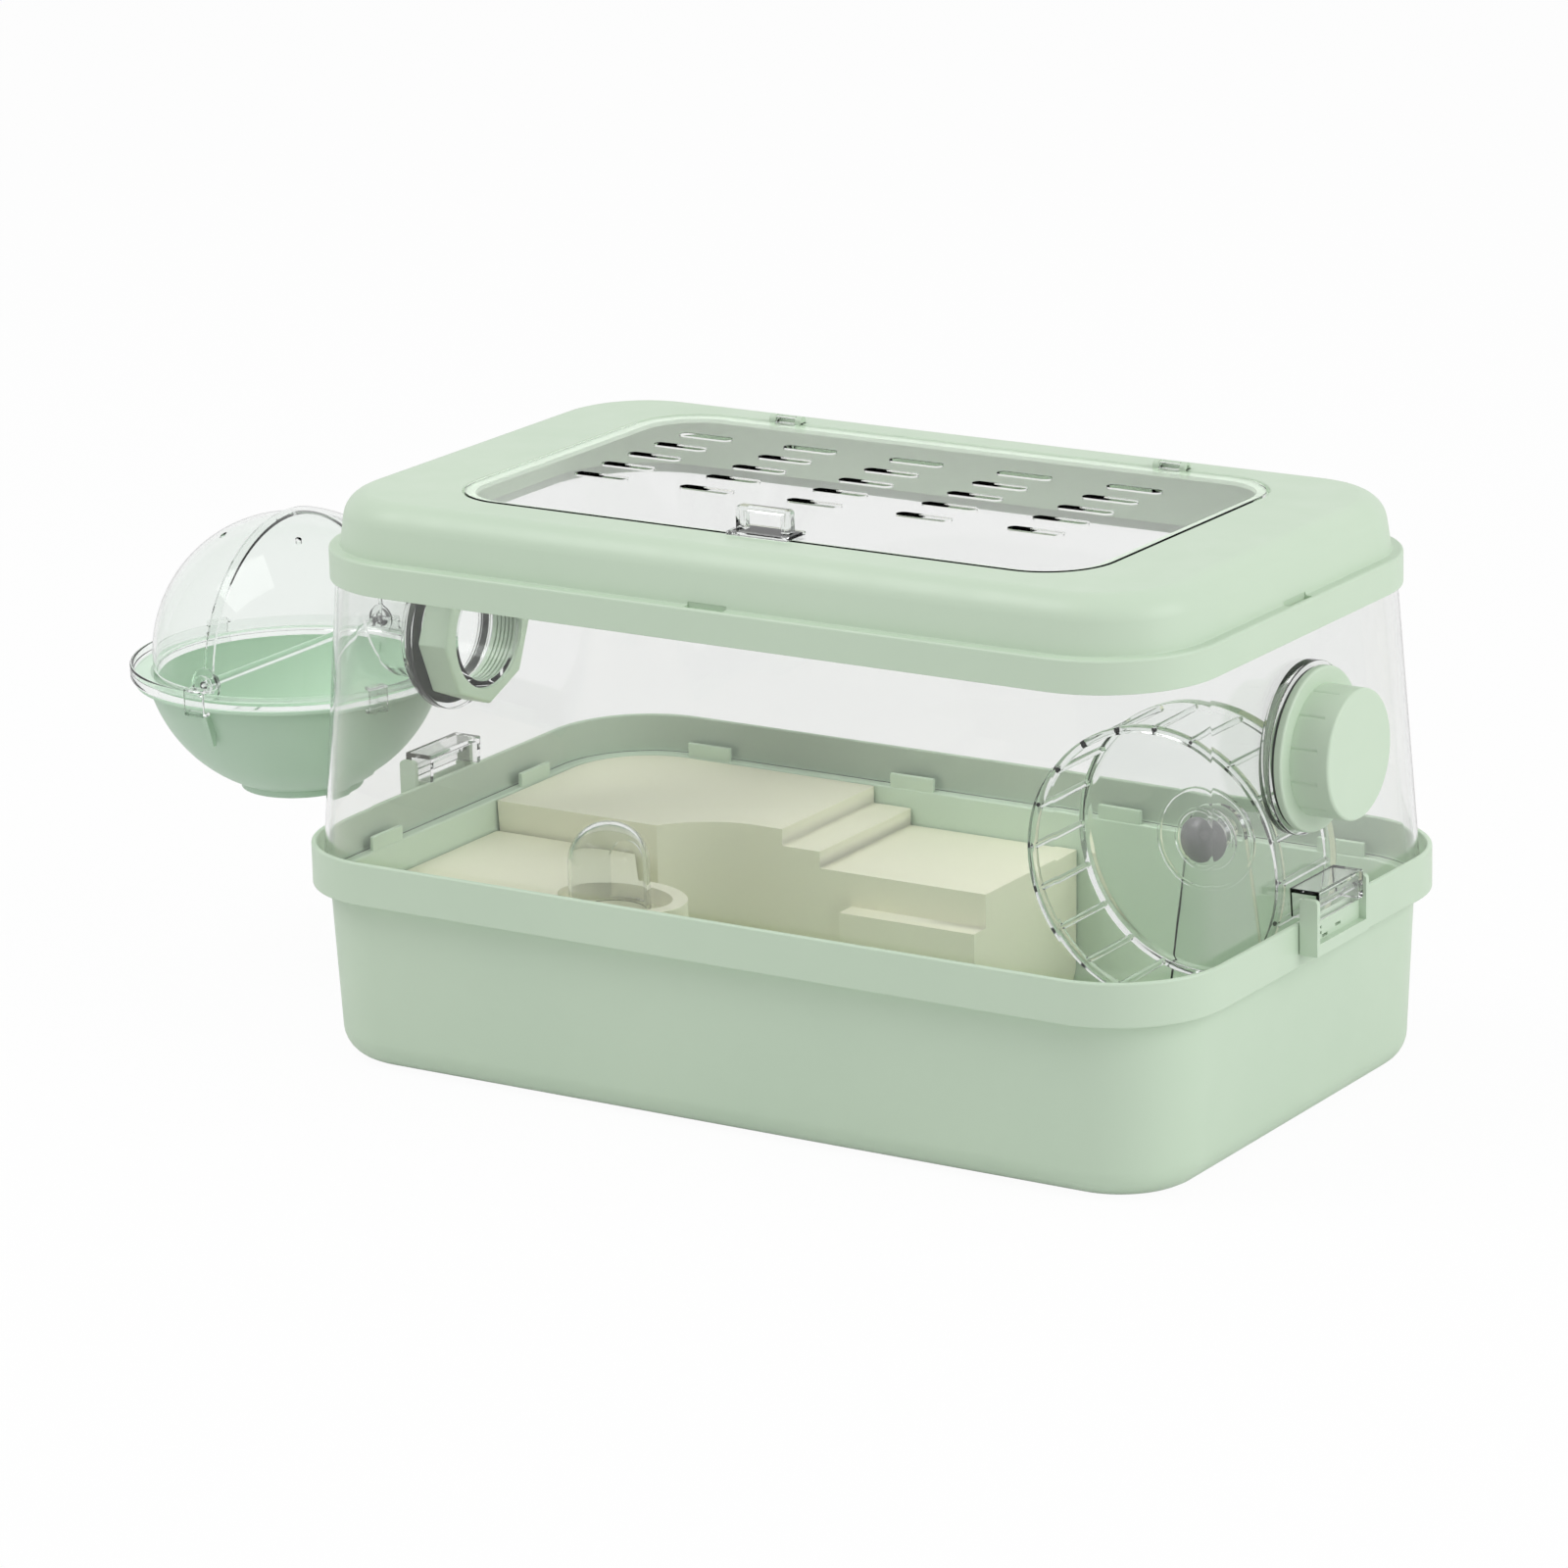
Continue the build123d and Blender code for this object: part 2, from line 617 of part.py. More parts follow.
def front_outline(inset):
    """Plan of the front platform: a broad left part that narrows to the round end of the trough."""
    back = FRONT_BACK_Y - inset
    front = 2 * TROUGH_CENTRE[1] - back
    waist_back = TROUGH_CENTRE[1] + TROUGH_HALF_WIDTH + TROUGH_RIM - inset
    waist_front = 2 * TROUGH_CENTRE[1] - waist_back
    left = Polygon(
        (-TRAY_HALF_X, back),
        (-TRAY_HALF_X, -TRAY_HALF_Y),
        (FRONT_BACK_X - inset, -TRAY_HALF_Y),
        (FRONT_BACK_X - inset, front),
        (FRONT_WAIST_X - inset, waist_front),
        (FRONT_WAIST_X - inset, waist_back),
        (FRONT_BACK_X - inset, back),
        align=None,
    )
    half_length = TROUGH_HALF_LENGTH + TROUGH_RIM - inset
    half_width = TROUGH_HALF_WIDTH + TROUGH_RIM - inset
    ring = Pos(*TROUGH_CENTRE) * Ellipse(half_length, half_width)
    return left + ring


def platform_front():
    shell = prism(front_outline(0.0), FRONT_TOP) & tray_cavity(PLATFORM_GAP)
    hollow = prism(front_outline(PLATFORM_WALL), FRONT_TOP - PLATFORM_WALL)
    hollow = hollow & tray_cavity(PLATFORM_GAP + PLATFORM_WALL)
    dish = Pos(*TROUGH_CENTRE, TROUGH_FLOOR) * Ellipse(TROUGH_HALF_LENGTH, TROUGH_HALF_WIDTH)
    dish = extrude(dish, amount=FRONT_TOP - TROUGH_FLOOR + 1)
    pan = Ellipse(TROUGH_HALF_LENGTH + PLATFORM_WALL, TROUGH_HALF_WIDTH + PLATFORM_WALL)
    pan = Pos(*TROUGH_CENTRE, TROUGH_FLOOR - PLATFORM_WALL) * pan
    pan = extrude(pan, amount=FRONT_TOP - TROUGH_FLOOR + PLATFORM_WALL)
    return shell - hollow + pan - dish


def feeder_hood():
    """A clear dome over the trough with an arched way in at the back, from the deck."""
    x, y = HOOD_CENTRE
    bottom = TROUGH_FLOOR + HOOD_GAP
    shoulder = bottom + HOOD_HEIGHT - HOOD_RADIUS
    outside = along_z(HOOD_RADIUS, bottom, shoulder, x, y) + ball(HOOD_RADIUS, x, y, shoulder)
    inner = HOOD_RADIUS - HOOD_WALL
    inside = along_z(inner, bottom - 1, shoulder, x, y) + ball(inner, x, y, shoulder)
    half = HOOD_DOOR_WIDTH / 2
    arch_z = bottom + HOOD_DOOR_HEIGHT - half
    way_in = block(x - half, x + half, y, y + 2 * HOOD_RADIUS, bottom + HOOD_FOOT, arch_z)
    way_in += along_y(half, y, y + 2 * HOOD_RADIUS, x, arch_z)
    return outside - inside - way_in


def wheel_tube(outer, inner, y_low, y_high):
    tube = along_y(outer, y_low, y_high, WHEEL_X, WHEEL_Z)
    return tube - along_y(inner, y_low - 1, y_high + 1, WHEEL_X, WHEEL_Z)


def wheel_drum():
    disc_y = WHEEL_BACK_Y - WHEEL_DISC
    inner = WHEEL_RADIUS - WHEEL_RING
    drum = along_y(WHEEL_RADIUS, disc_y, WHEEL_BACK_Y, WHEEL_X, WHEEL_Z)
    drum += wheel_tube(WHEEL_RADIUS, inner, disc_y - WHEEL_RING_DEPTH, disc_y + 0.5)
    drum += wheel_tube(WHEEL_RADIUS, inner, WHEEL_FRONT_Y, WHEEL_FRONT_Y + WHEEL_RING_DEPTH)
    pitch_radius = WHEEL_RADIUS - WHEEL_RING / 2
    for index in range(RUNG_COUNT):
        angle = radians(360 / RUNG_COUNT * index)
        x = WHEEL_X + pitch_radius * cos(angle)
        z = WHEEL_Z + pitch_radius * sin(angle)
        drum += along_y(RUNG_RADIUS, WHEEL_FRONT_Y + 2, disc_y + 1, x, z)
    half_ring = DISC_RING_WIDTH / 2
    for radius in DISC_RING_RADII:
        drum += wheel_tube(radius + half_ring, radius - half_ring, disc_y - DISC_RING_HEIGHT, disc_y + 0.5)
    boss_back = WHEEL_BACK_Y + HUB_BOSS_BACK
    drum += along_y(HUB_BOSS_RADIUS, disc_y - HUB_BOSS_FRONT, boss_back, WHEEL_X, WHEEL_Z)
    return drum - along_y(BUSH_RADIUS, disc_y - 10, WHEEL_BACK_Y + 10, WHEEL_X, WHEEL_Z)


def wheel_bush():
    front = WHEEL_BACK_Y - WHEEL_DISC - HUB_BOSS_FRONT
    return wheel_tube(BUSH_RADIUS, BUSH_BORE, front, WHEEL_BACK_Y + HUB_BOSS_BACK)


def hub_cap_back():
    return WHEEL_BACK_Y - WHEEL_DISC - HUB_BOSS_FRONT - HUB_CAP_GAP


def wheel_axle():
    front = hub_cap_back() - AXLE_INSET
    back = STAND_FRONT_Y + STAND_THICKNESS + AXLE_INSET
    return along_y(AXLE_RADIUS, front, back, WHEEL_X, WHEEL_Z)


def wheel_hub_cap():
    """The domed grey cap pressed on the axle's free end, in front of the drum's disc."""
    back = hub_cap_back()
    front = back - HUB_CAP_HEIGHT
    sphere_radius = (HUB_CAP_RADIUS**2 + HUB_CAP_HEIGHT**2) / (2 * HUB_CAP_HEIGHT)
    dome = ball(sphere_radius, WHEEL_X, front + sphere_radius, WHEEL_Z)
    dome &= along_y(HUB_CAP_RADIUS, front - 1, back, WHEEL_X, WHEEL_Z)
    return dome - along_y(AXLE_RADIUS, back - AXLE_INSET, back + 1, WHEEL_X, WHEEL_Z)


def wheel_stand():
    """A base plate on the tray's floor, a tapered upright with a boss, and two gussets behind it."""
    floor = TRAY_WALL
    back = STAND_FRONT_Y + STAND_THICKNESS
    half = STAND_BASE_HALF_X
    top = floor + STAND_BASE_THICKNESS
    base = block(WHEEL_X - half, WHEEL_X + half, STAND_BASE_FRONT_Y, STAND_BASE_BACK_Y, floor, top)
    base = fillet(base.edges().filter_by(Axis.Z), STAND_BASE_FILLET)
    upright = Polygon(
        (WHEEL_X - STAND_FOOT_HALF_X, floor),
        (WHEEL_X + STAND_FOOT_HALF_X, floor),
        (WHEEL_X + STAND_TOP_RADIUS, WHEEL_Z),
        (WHEEL_X - STAND_TOP_RADIUS, WHEEL_Z),
        align=None,
    )
    stand = base + extrude(Plane.XZ.offset(-back) * upright, amount=STAND_THICKNESS)
    stand += along_y(STAND_TOP_RADIUS, STAND_FRONT_Y, back, WHEEL_X, WHEEL_Z)
    stand += along_y(STAND_BOSS_RADIUS, back - 0.5, back + STAND_BOSS, WHEEL_X, WHEEL_Z)
    outline = Polygon((0, floor), (GUSSET_DEPTH, floor), (0, floor + GUSSET_HEIGHT), align=None)
    for x in (WHEEL_X - GUSSET_X, WHEEL_X + GUSSET_X):
        plane = Plane.YZ.offset(x - GUSSET_THICKNESS / 2)
        stand += extrude(plane * Pos(back - 0.5, 0) * outline, amount=GUSSET_THICKNESS)
    return stand - along_y(AXLE_RADIUS, STAND_FRONT_Y - 5, back + 10, WHEEL_X, WHEEL_Z)


def port_cap():
    """A cup with a flange, a plug that goes into the wall, and shallow grip grooves round its crown."""
    flange_x = COLLAR_OUTER_X + SEAL_THICKNESS
    cap = along_x(CAP_FLANGE_RADIUS, flange_x, flange_x + CAP_FLANGE)
    crown = along_x(CAP_RADIUS, flange_x + 1, CAP_FACE_X)
    crown = fillet(crown.edges().group_by(Axis.X)[-1], CAP_FACE_FILLET)
    cap = cap + crown + along_x(CAP_PLUG_RADIUS, CAP_PLUG_END_X, flange_x + 1)
    cap -= along_x(CAP_INNER_RADIUS, CAP_PLUG_END_X - 1, CAP_FACE_X - CAP_FACE_WALL)
    groove_start = flange_x + CAP_FLANGE
    groove_end = groove_start + CAP_GROOVE_REACH * (CAP_FACE_X - groove_start)
    reach = CAP_RADIUS + CAP_GROOVE_RADIUS / 2
    for index in range(CAP_GROOVES):
        angle = radians(360 / CAP_GROOVES * (index + 0.5))
        y = reach * cos(angle)
        z = PORT_Z + reach * sin(angle)
        cap -= along_x(CAP_GROOVE_RADIUS, groove_start, groove_end, y, z)
    return cap


def port_nut():
    """An eight-sided nut on the pod's neck, corner down, with thread grooves in its bore."""
    low = -COLLAR_INNER_X + NUT_WALL_GAP
    outline = RegularPolygon(NUT_ACROSS_FLATS / 2, NUT_SIDES, major_radius=False)
    nut = Pos(low, 0, PORT_Z) * Rot(0, 90, 0) * extrude(outline, amount=NUT_LENGTH)
    nut = chamfer(nut.edges().group_by(Axis.X)[-1], NUT_CHAMFER)
    nut -= along_x(NUT_BORE, low - 1, low + NUT_LENGTH + 1)
    for index in range(NUT_GROOVES):
        x = low + NUT_GROOVE_PITCH * (index + 1)
        nut -= along_x(NUT_BORE + NUT_GROOVE_DEPTH, x, x + NUT_GROOVE_WIDTH)
    return nut


def pod_bowl():
    outside = ball(BOWL_RADIUS, POD_X, 0, BOWL_CENTRE_Z)
    outside &= along_z(BOWL_RADIUS + 1, FOOT_BOTTOM, BOWL_TOP, POD_X, 0)
    bowl = outside + along_z(BOWL_FLANGE_RADIUS, BOWL_TOP - BOWL_FLANGE, BOWL_TOP, POD_X, 0)
    bowl += along_z(FOOT_RADIUS, FOOT_BOTTOM, FOOT_TOP, POD_X, 0)
    inside = ball(BOWL_RADIUS - BOWL_WALL, POD_X, 0, BOWL_CENTRE_Z)
    inside &= along_z(BOWL_RADIUS, BOWL_FLOOR, BOWL_TOP + 5, POD_X, 0)
    under_foot = along_z(FOOT_RADIUS - FOOT_WALL, FOOT_BOTTOM - 1, FOOT_BOTTOM + FOOT_WALL, POD_X, 0)
    bowl = bowl - inside - under_foot
    rib = pod_rib() - inside
    return bowl + rib + rib.mirror(Plane.XZ)


def pod_rib():
    """A thin upright rib under the bowl's flange, beside the clip."""
    top = BOWL_TOP - BOWL_FLANGE - CLIP_WALL - CLIP_GAP
    outline = Polygon(
        (RIB_FOOT, top - RIB_HEIGHT),
        (RIB_TOE, top - RIB_HEIGHT),
        (RIB_TOP_REACH, top),
        (RIB_FOOT, top),
        align=None,
    )
    return extrude(Plane.YZ.offset(POD_X - RIB_WIDTH / 2) * outline, amount=RIB_WIDTH)


def pod_dome():
    """The clear ring on the bowl, the fixed quarter dome on the cage side and its neck."""
    ring = along_z(POD_RING_RADIUS, POD_RING_BOTTOM, POD_RING_TOP, POD_X, 0)
    ring -= along_z(POD_RING_INNER, POD_RING_BOTTOM - 1, POD_RING_TOP + 1, POD_X, 0)
    lip = along_z(POD_RING_RADIUS, POD_RING_TOP - 0.5, POD_LIP_TOP, POD_X, 0)
    lip -= along_z(POD_RING_RADIUS - POD_LIP, POD_RING_TOP - 1, POD_LIP_TOP + 1, POD_X, 0)
    outside = pod_ball(DOME_RADIUS)
    inside = pod_ball(DOME_RADIUS - DOME_WALL)
    cage_side = block(POD_X - 1, POD_X + 100, -100, 100, POD_RING_TOP - 0.5, POD_Z + 100)
    neck = along_x(NECK_RADIUS, POD_X + 30, NECK_END_X)
    flange_x = -COLLAR_OUTER_X - SEAL_THICKNESS
    neck += along_x(NECK_FLANGE_RADIUS, flange_x - NECK_FLANGE, flange_x)
    ears = Part()
    for side in (-1, 1):
        low, high = span(side, DOME_RADIUS - 2, DOME_RADIUS + EAR_BOSS)
        ears += along_y(EAR_RADIUS, low, high, POD_X, POD_Z)
    dome = (outside & cage_side) + neck + ears - inside
    dome = dome + ring + lip
    dome -= along_x(NECK_BORE, POD_X + 20, NECK_END_X + 1)
    reach = DOME_RADIUS + 5
    pivot = along_y(POD_PIN_RADIUS + PIN_CLEARANCE, -reach, reach, POD_X, POD_Z)
    return dome - pivot - pod_vents(1)


def pod_vents(side):
    """Two small air holes through the top of one quarter of the dome."""
    x = POD_X + side * VENT_REACH
    bottom = POD_Z + DOOR_RADIUS - 15
    top = POD_Z + DOME_RADIUS
    return Part() + [along_z(VENT_RADIUS, bottom, top, x, y) for y in (-VENT_REACH, VENT_REACH)]


def pod_door():
    """The outer quarter of the dome, which turns up and over inside the fixed quarter."""
    shell = pod_ball(DOOR_RADIUS) - pod_ball(DOOR_RADIUS - DOOR_WALL)
    door = shell & block(POD_X - 100, POD_X + DOOR_LAP, -100, 100, DOOR_BOTTOM, POD_Z + 100)
    for side in (-1, 1):
        low, high = span(side, DOOR_RADIUS - 3.0, DOOR_RADIUS - 0.6)
        door += along_y(DOOR_LOBE, low, high, POD_X, POD_Z)
    reach = DOOR_RADIUS + 5
    door -= along_y(POD_PIN_RADIUS, -reach, reach, POD_X, POD_Z)
    return door - pod_vents(-1)


def pod_pivot_pins():
    """Two pins fixed in the door, with round heads outside the dome's ears."""
    pins = []
    head = DOME_RADIUS + EAR_BOSS + 0.3
    for side in (-1, 1):
        low, high = span(side, DOOR_RADIUS - 3.5, head + 0.2)
        shank = along_y(POD_PIN_RADIUS, low, high, POD_X, POD_Z)
        low, high = span(side, head, head + POD_KNOB)
        pins.append(shank + along_y(POD_KNOB_RADIUS, low, high, POD_X, POD_Z))
    return Compound(children=pins)


def pod_clips():
    """Clear C-shaped clips that hold the bowl's flange to the dome's ring."""
    bottom = BOWL_TOP - BOWL_FLANGE
    half = CLIP_WIDTH / 2
    outer = POD_RING_RADIUS + CLIP_WALL
    clip = block(CLIP_INNER, outer, -half, half, bottom - CLIP_WALL, POD_LIP_TOP + CLIP_WALL)
    gap_end = POD_RING_RADIUS + CLIP_GAP
    clip -= block(0, gap_end, -CLIP_WIDTH, CLIP_WIDTH, bottom - CLIP_GAP / 2, POD_LIP_TOP + CLIP_GAP / 2)
    return Compound(children=[Pos(POD_X, 0, 0) * Rot(0, 0, angle) * clip for angle in CLIP_ANGLES])


PARTS = {
    "tray": tray(),
    "clear_housing": clear_housing(),
    "lid_frame": lid_frame(),
    "window_panel": window_panel(),
    "window_handle": window_handle(),
    "window_hinge_pins": window_hinge_pins(),
    "latch_lever_left": latch_lever(-1),
    "latch_lever_right": latch_lever(1),
    "latch_pins": latch_pins(),
    "platform_upper": platform_upper(),
    "platform_front": platform_front(),
    "feeder_hood": feeder_hood(),
    "wheel_drum": wheel_drum(),
    "wheel_bush": wheel_bush(),
    "wheel_axle": wheel_axle(),
    "wheel_hub_cap": wheel_hub_cap(),
    "wheel_stand": wheel_stand(),
    "port_cap": port_cap(),
    "port_cap_seal": port_seal(1),
    "pod_bowl": pod_bowl(),
    "pod_dome": pod_dome(),
    "pod_door": pod_door(),
    "pod_pivot_pins": pod_pivot_pins(),
    "pod_clips": pod_clips(),
    "pod_neck_seal": port_seal(-1),
    "port_nut": port_nut(),
}

os.makedirs("parts", exist_ok=True)
for name, shape in PARTS.items():
    export_step(shape, f"parts/{name}.step")
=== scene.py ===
# %% [markdown]
# # A two-tier hamster cage, dressed piece by piece
#
# The cage is a deep mint tray with cream platforms inside, a clear housing clipped on top, a mint lid
# with a clear flip window, a clear running wheel, a capped port at one end and a ball-shaped pod at the
# other. Its construction comes ready as a frame of solids at their real size. This lesson makes what
# the eye meets: thin moulded walls with rounded edges, and plastics that look moulded.

# %% Load the frame
import json
from math import asin, atan2, cos, degrees, hypot, pi, radians, sin, sqrt, tan

import bmesh
import bpy
from mathutils import Matrix, Vector


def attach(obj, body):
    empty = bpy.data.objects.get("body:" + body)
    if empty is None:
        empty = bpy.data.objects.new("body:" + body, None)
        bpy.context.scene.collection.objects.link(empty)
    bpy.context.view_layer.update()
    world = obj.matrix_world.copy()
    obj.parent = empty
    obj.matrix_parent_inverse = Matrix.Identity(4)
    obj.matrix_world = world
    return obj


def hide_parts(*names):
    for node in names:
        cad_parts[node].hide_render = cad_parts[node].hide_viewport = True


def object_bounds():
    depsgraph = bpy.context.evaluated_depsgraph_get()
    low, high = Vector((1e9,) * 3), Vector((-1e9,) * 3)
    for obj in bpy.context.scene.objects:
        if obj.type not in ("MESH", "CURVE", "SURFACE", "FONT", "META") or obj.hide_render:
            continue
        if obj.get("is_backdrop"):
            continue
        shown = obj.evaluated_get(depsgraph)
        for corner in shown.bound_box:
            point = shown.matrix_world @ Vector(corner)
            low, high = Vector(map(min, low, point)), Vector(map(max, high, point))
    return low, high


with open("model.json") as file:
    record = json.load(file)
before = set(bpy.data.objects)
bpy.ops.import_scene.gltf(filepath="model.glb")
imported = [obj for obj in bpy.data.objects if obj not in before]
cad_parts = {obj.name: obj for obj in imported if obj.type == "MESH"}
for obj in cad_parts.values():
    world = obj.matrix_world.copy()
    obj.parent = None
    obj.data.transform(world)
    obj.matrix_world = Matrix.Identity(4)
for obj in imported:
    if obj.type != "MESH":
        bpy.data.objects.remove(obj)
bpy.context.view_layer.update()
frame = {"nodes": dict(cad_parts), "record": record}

body_of = {node: body for body, nodes in frame["record"]["behaviour"]["bodies"].items() for node in nodes}

# %% [markdown]
# ## Camera
#
# The picture was taken from the right and a little above with a long lens, so lines that run away
# from the eye hardly draw together. A camera is a point, three turns and a focal length: yaw swings it
# about the upright axis, pitch tips it down, and roll leans it by a degree and a half. The turns are
# multiplied in that order, because each one is about an axis that the turn before has moved.

# %% Camera
CAMERA_PLACE = (1.58954, -2.53690, 0.98429)
CAMERA_YAW = 32.723
CAMERA_PITCH = 15.931
CAMERA_ROLL = -1.379
CAMERA_LENS = 157.33
CAMERA_SHIFT = (-0.00467, -0.00040)

lens = bpy.data.cameras.new("camera")
lens.lens = CAMERA_LENS
lens.sensor_width = 36.0
lens.shift_x, lens.shift_y = CAMERA_SHIFT
lens.clip_end = 20.0
camera = bpy.data.objects.new("camera", lens)
turn = Matrix.Rotation(radians(CAMERA_YAW), 4, "Z")
tip = Matrix.Rotation(radians(90 - CAMERA_PITCH), 4, "X")
lean = Matrix.Rotation(radians(CAMERA_ROLL), 4, "Z")
camera.matrix_world = Matrix.Translation(CAMERA_PLACE) @ turn @ tip @ lean
bpy.context.scene.collection.objects.link(camera)
bpy.context.scene.camera = camera
bpy.context.scene.view_settings.view_transform = "Standard"
print("camera:", round((Vector(CAMERA_PLACE)).length, 2), "m from the cage")

# %% [markdown]
# ## White room
#
# A product picture stands in a white room. The lamps could be turned up until the room burns out to
# white, but then the pale plastic burns out with it. So the room is painted white only for rays that
# look at it: straight from the camera or through the clear walls. A gloss sees nearly all of the white
# sky but only a part of the white floor, because the clear walls would otherwise wear a milky veil.
# Every other ray meets a dimmer sky, a little brighter above, behind and to the right.

# %% Sky
SKY_TOWARDS = (0.40, 0.30, 0.87)
SKY_LOW = 0.36
SKY_HIGH = 0.72
SKY_GLOSS = 0.9


def math_node(tree, operation, first, second):
    """A sum on two values, each a socket or a plain number, and its result."""
    node = tree.nodes.new("ShaderNodeMath")
    node.operation = operation
    for place, value in enumerate((first, second)):
        if isinstance(value, float):
            node.inputs[place].default_value = value
        else:
            tree.links.new(value, node.inputs[place])
    return node.outputs[0]


def looking_ray(tree, gloss_share):
    """One where a ray looks from the camera or through clear plastic, a share off a gloss, else nought."""
    path = tree.nodes.new("ShaderNodeLightPath").outputs
    straight = math_node(tree, "MAXIMUM", path["Is Camera Ray"], path["Is Transmission Ray"])
    gloss = math_node(tree, "MULTIPLY", path["Is Glossy Ray"], gloss_share)
    return math_node(tree, "MAXIMUM", straight, gloss)


world = bpy.data.worlds.new("white_room")
bpy.context.scene.world = world
world.use_nodes = True
sky = world.node_tree
direction = sky.nodes.new("ShaderNodeTexCoord")
facing = sky.nodes.new("ShaderNodeVectorMath")
facing.operation = "DOT_PRODUCT"
facing.inputs[1].default_value = SKY_TOWARDS
sky.links.new(direction.outputs["Generated"], facing.inputs[0])
gradient = sky.nodes.new("ShaderNodeMapRange")
gradient.inputs["From Min"].default_value = -1.0
gradient.inputs["To Min"].default_value = SKY_LOW
gradient.inputs["To Max"].default_value = SKY_HIGH
sky.links.new(facing.outputs["Value"], gradient.inputs["Value"])
dim = sky.nodes["Background"]
dim.inputs["Color"].default_value = (1.0, 1.0, 1.0, 1.0)
sky.links.new(gradient.outputs["Result"], dim.inputs["Strength"])
bright = sky.nodes.new("ShaderNodeBackground")
bright.inputs["Color"].default_value = (1.0, 1.0, 1.0, 1.0)
chooser = sky.nodes.new("ShaderNodeMixShader")
sky.links.new(looking_ray(sky, SKY_GLOSS), chooser.inputs[0])
sky.links.new(dim.outputs[0], chooser.inputs[1])
sky.links.new(bright.outputs[0], chooser.inputs[2])
sky.links.new(chooser.outputs[0], sky.nodes["World Output"].inputs["Surface"])
print("sky:", SKY_LOW, "to", SKY_HIGH)

# %% Floor
FLOOR_HALF = 6.0
FLOOR_WHITE_SHARE = 0.95
FLOOR_GLOSS = 0.35

floor_mesh = bmesh.new()
bmesh.ops.create_grid(floor_mesh, x_segments=2, y_segments=2, size=FLOOR_HALF)
floor_data = bpy.data.meshes.new("floor")
floor_mesh.to_mesh(floor_data)
floor_mesh.free()
floor = bpy.data.objects.new("floor", floor_data)
bpy.context.scene.collection.objects.link(floor)
floor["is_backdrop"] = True

paper = bpy.data.materials.new("white_paper")
paper.use_nodes = True
tree = paper.node_tree
tree.nodes["Principled BSDF"].inputs["Base Color"].default_value = (0.86, 0.86, 0.86, 1.0)
tree.nodes["Principled BSDF"].inputs["Roughness"].default_value = 0.9
glow = tree.nodes.new("ShaderNodeEmission")
glow.inputs["Strength"].default_value = 1.0
share = math_node(tree, "MULTIPLY", looking_ray(tree, FLOOR_GLOSS), FLOOR_WHITE_SHARE)
blend = tree.nodes.new("ShaderNodeMixShader")
tree.links.new(share, blend.inputs[0])
tree.links.new(tree.nodes["Principled BSDF"].outputs[0], blend.inputs[1])
tree.links.new(glow.outputs[0], blend.inputs[2])
tree.links.new(blend.outputs[0], tree.nodes["Material Output"].inputs["Surface"])
floor_data.materials.append(paper)
print("floor:", 2 * FLOOR_HALF, "m square")

# %% Lamps
CAGE_CENTRE = Vector((0.0, 0.0, 0.13))


def soft_lamp(name, place, size, power):
    """A square lamp that faces the middle of the cage."""
    light = bpy.data.lights.new(name, "AREA")
    light.size = size
    light.energy = power
    lamp = bpy.data.objects.new(name, light)
    lamp.location = place
    lamp.rotation_euler = (CAGE_CENTRE - Vector(place)).to_track_quat("-Z", "Y").to_euler()
    bpy.context.scene.collection.objects.link(lamp)
    print("lamp:", name, power, "W")


soft_lamp("lamp_right", (2.2, 0.2, 1.2), 1.5, 20.0)
soft_lamp("lamp_left", (-1.1, -1.0, 2.2), 1.5, 21.0)

# %% [markdown]
# ## Plastics
#
# The coloured parts are injection moulded: one dyed resin, satin, with a faint drift in tone where the
# melt cooled at different rates, and a very fine grain from the blasted steel of the mould. An image
# could hold that, but noise in the piece's own coordinates stays sharp at any distance and never
# slides over the surface. One function makes every dyed plastic, and its arguments are what differs.

# %% Dyed plastic
def screen_colour(red, green, blue):
    """The linear colour of a screen colour given as 0 to 255."""
    return tuple(((value / 255 + 0.055) / 1.055) ** 2.4 for value in (red, green, blue)) + (1.0,)


def new_material(name):
    material = bpy.data.materials.new(name)
    material.use_nodes = True
    tree = material.node_tree
    return material, tree, tree.nodes["Principled BSDF"], tree.nodes.new("ShaderNodeTexCoord")


def cloud(tree, place, scale, detail=2.0):
    """Soft noise in the piece's own metres; scale is the number of blotches in a metre."""
    noise = tree.nodes.new("ShaderNodeTexNoise")
    noise.inputs["Scale"].default_value = scale
    noise.inputs["Detail"].default_value = detail
    tree.links.new(place.outputs["Object"], noise.inputs["Vector"])
    return noise.outputs["Fac"]


def spread(tree, factor, low, high):
    """Stretches the middle of a noise to the range from low to high."""
    span = tree.nodes.new("ShaderNodeMapRange")
    span.inputs["From Min"].default_value = 0.3
    span.inputs["From Max"].default_value = 0.7
    span.inputs["To Min"].default_value = low
    span.inputs["To Max"].default_value = high
    tree.links.new(factor, span.inputs["Value"])
    return span.outputs["Result"]


def relief(tree, shader, height, depth, strength):
    """Presses a height pattern into the surface; depth is in metres."""
    bump = tree.nodes.new("ShaderNodeBump")
    bump.inputs["Distance"].default_value = depth
    bump.inputs["Strength"].default_value = strength
    tree.links.new(height, bump.inputs["Height"])
    tree.links.new(bump.outputs["Normal"], shader.inputs["Normal"])


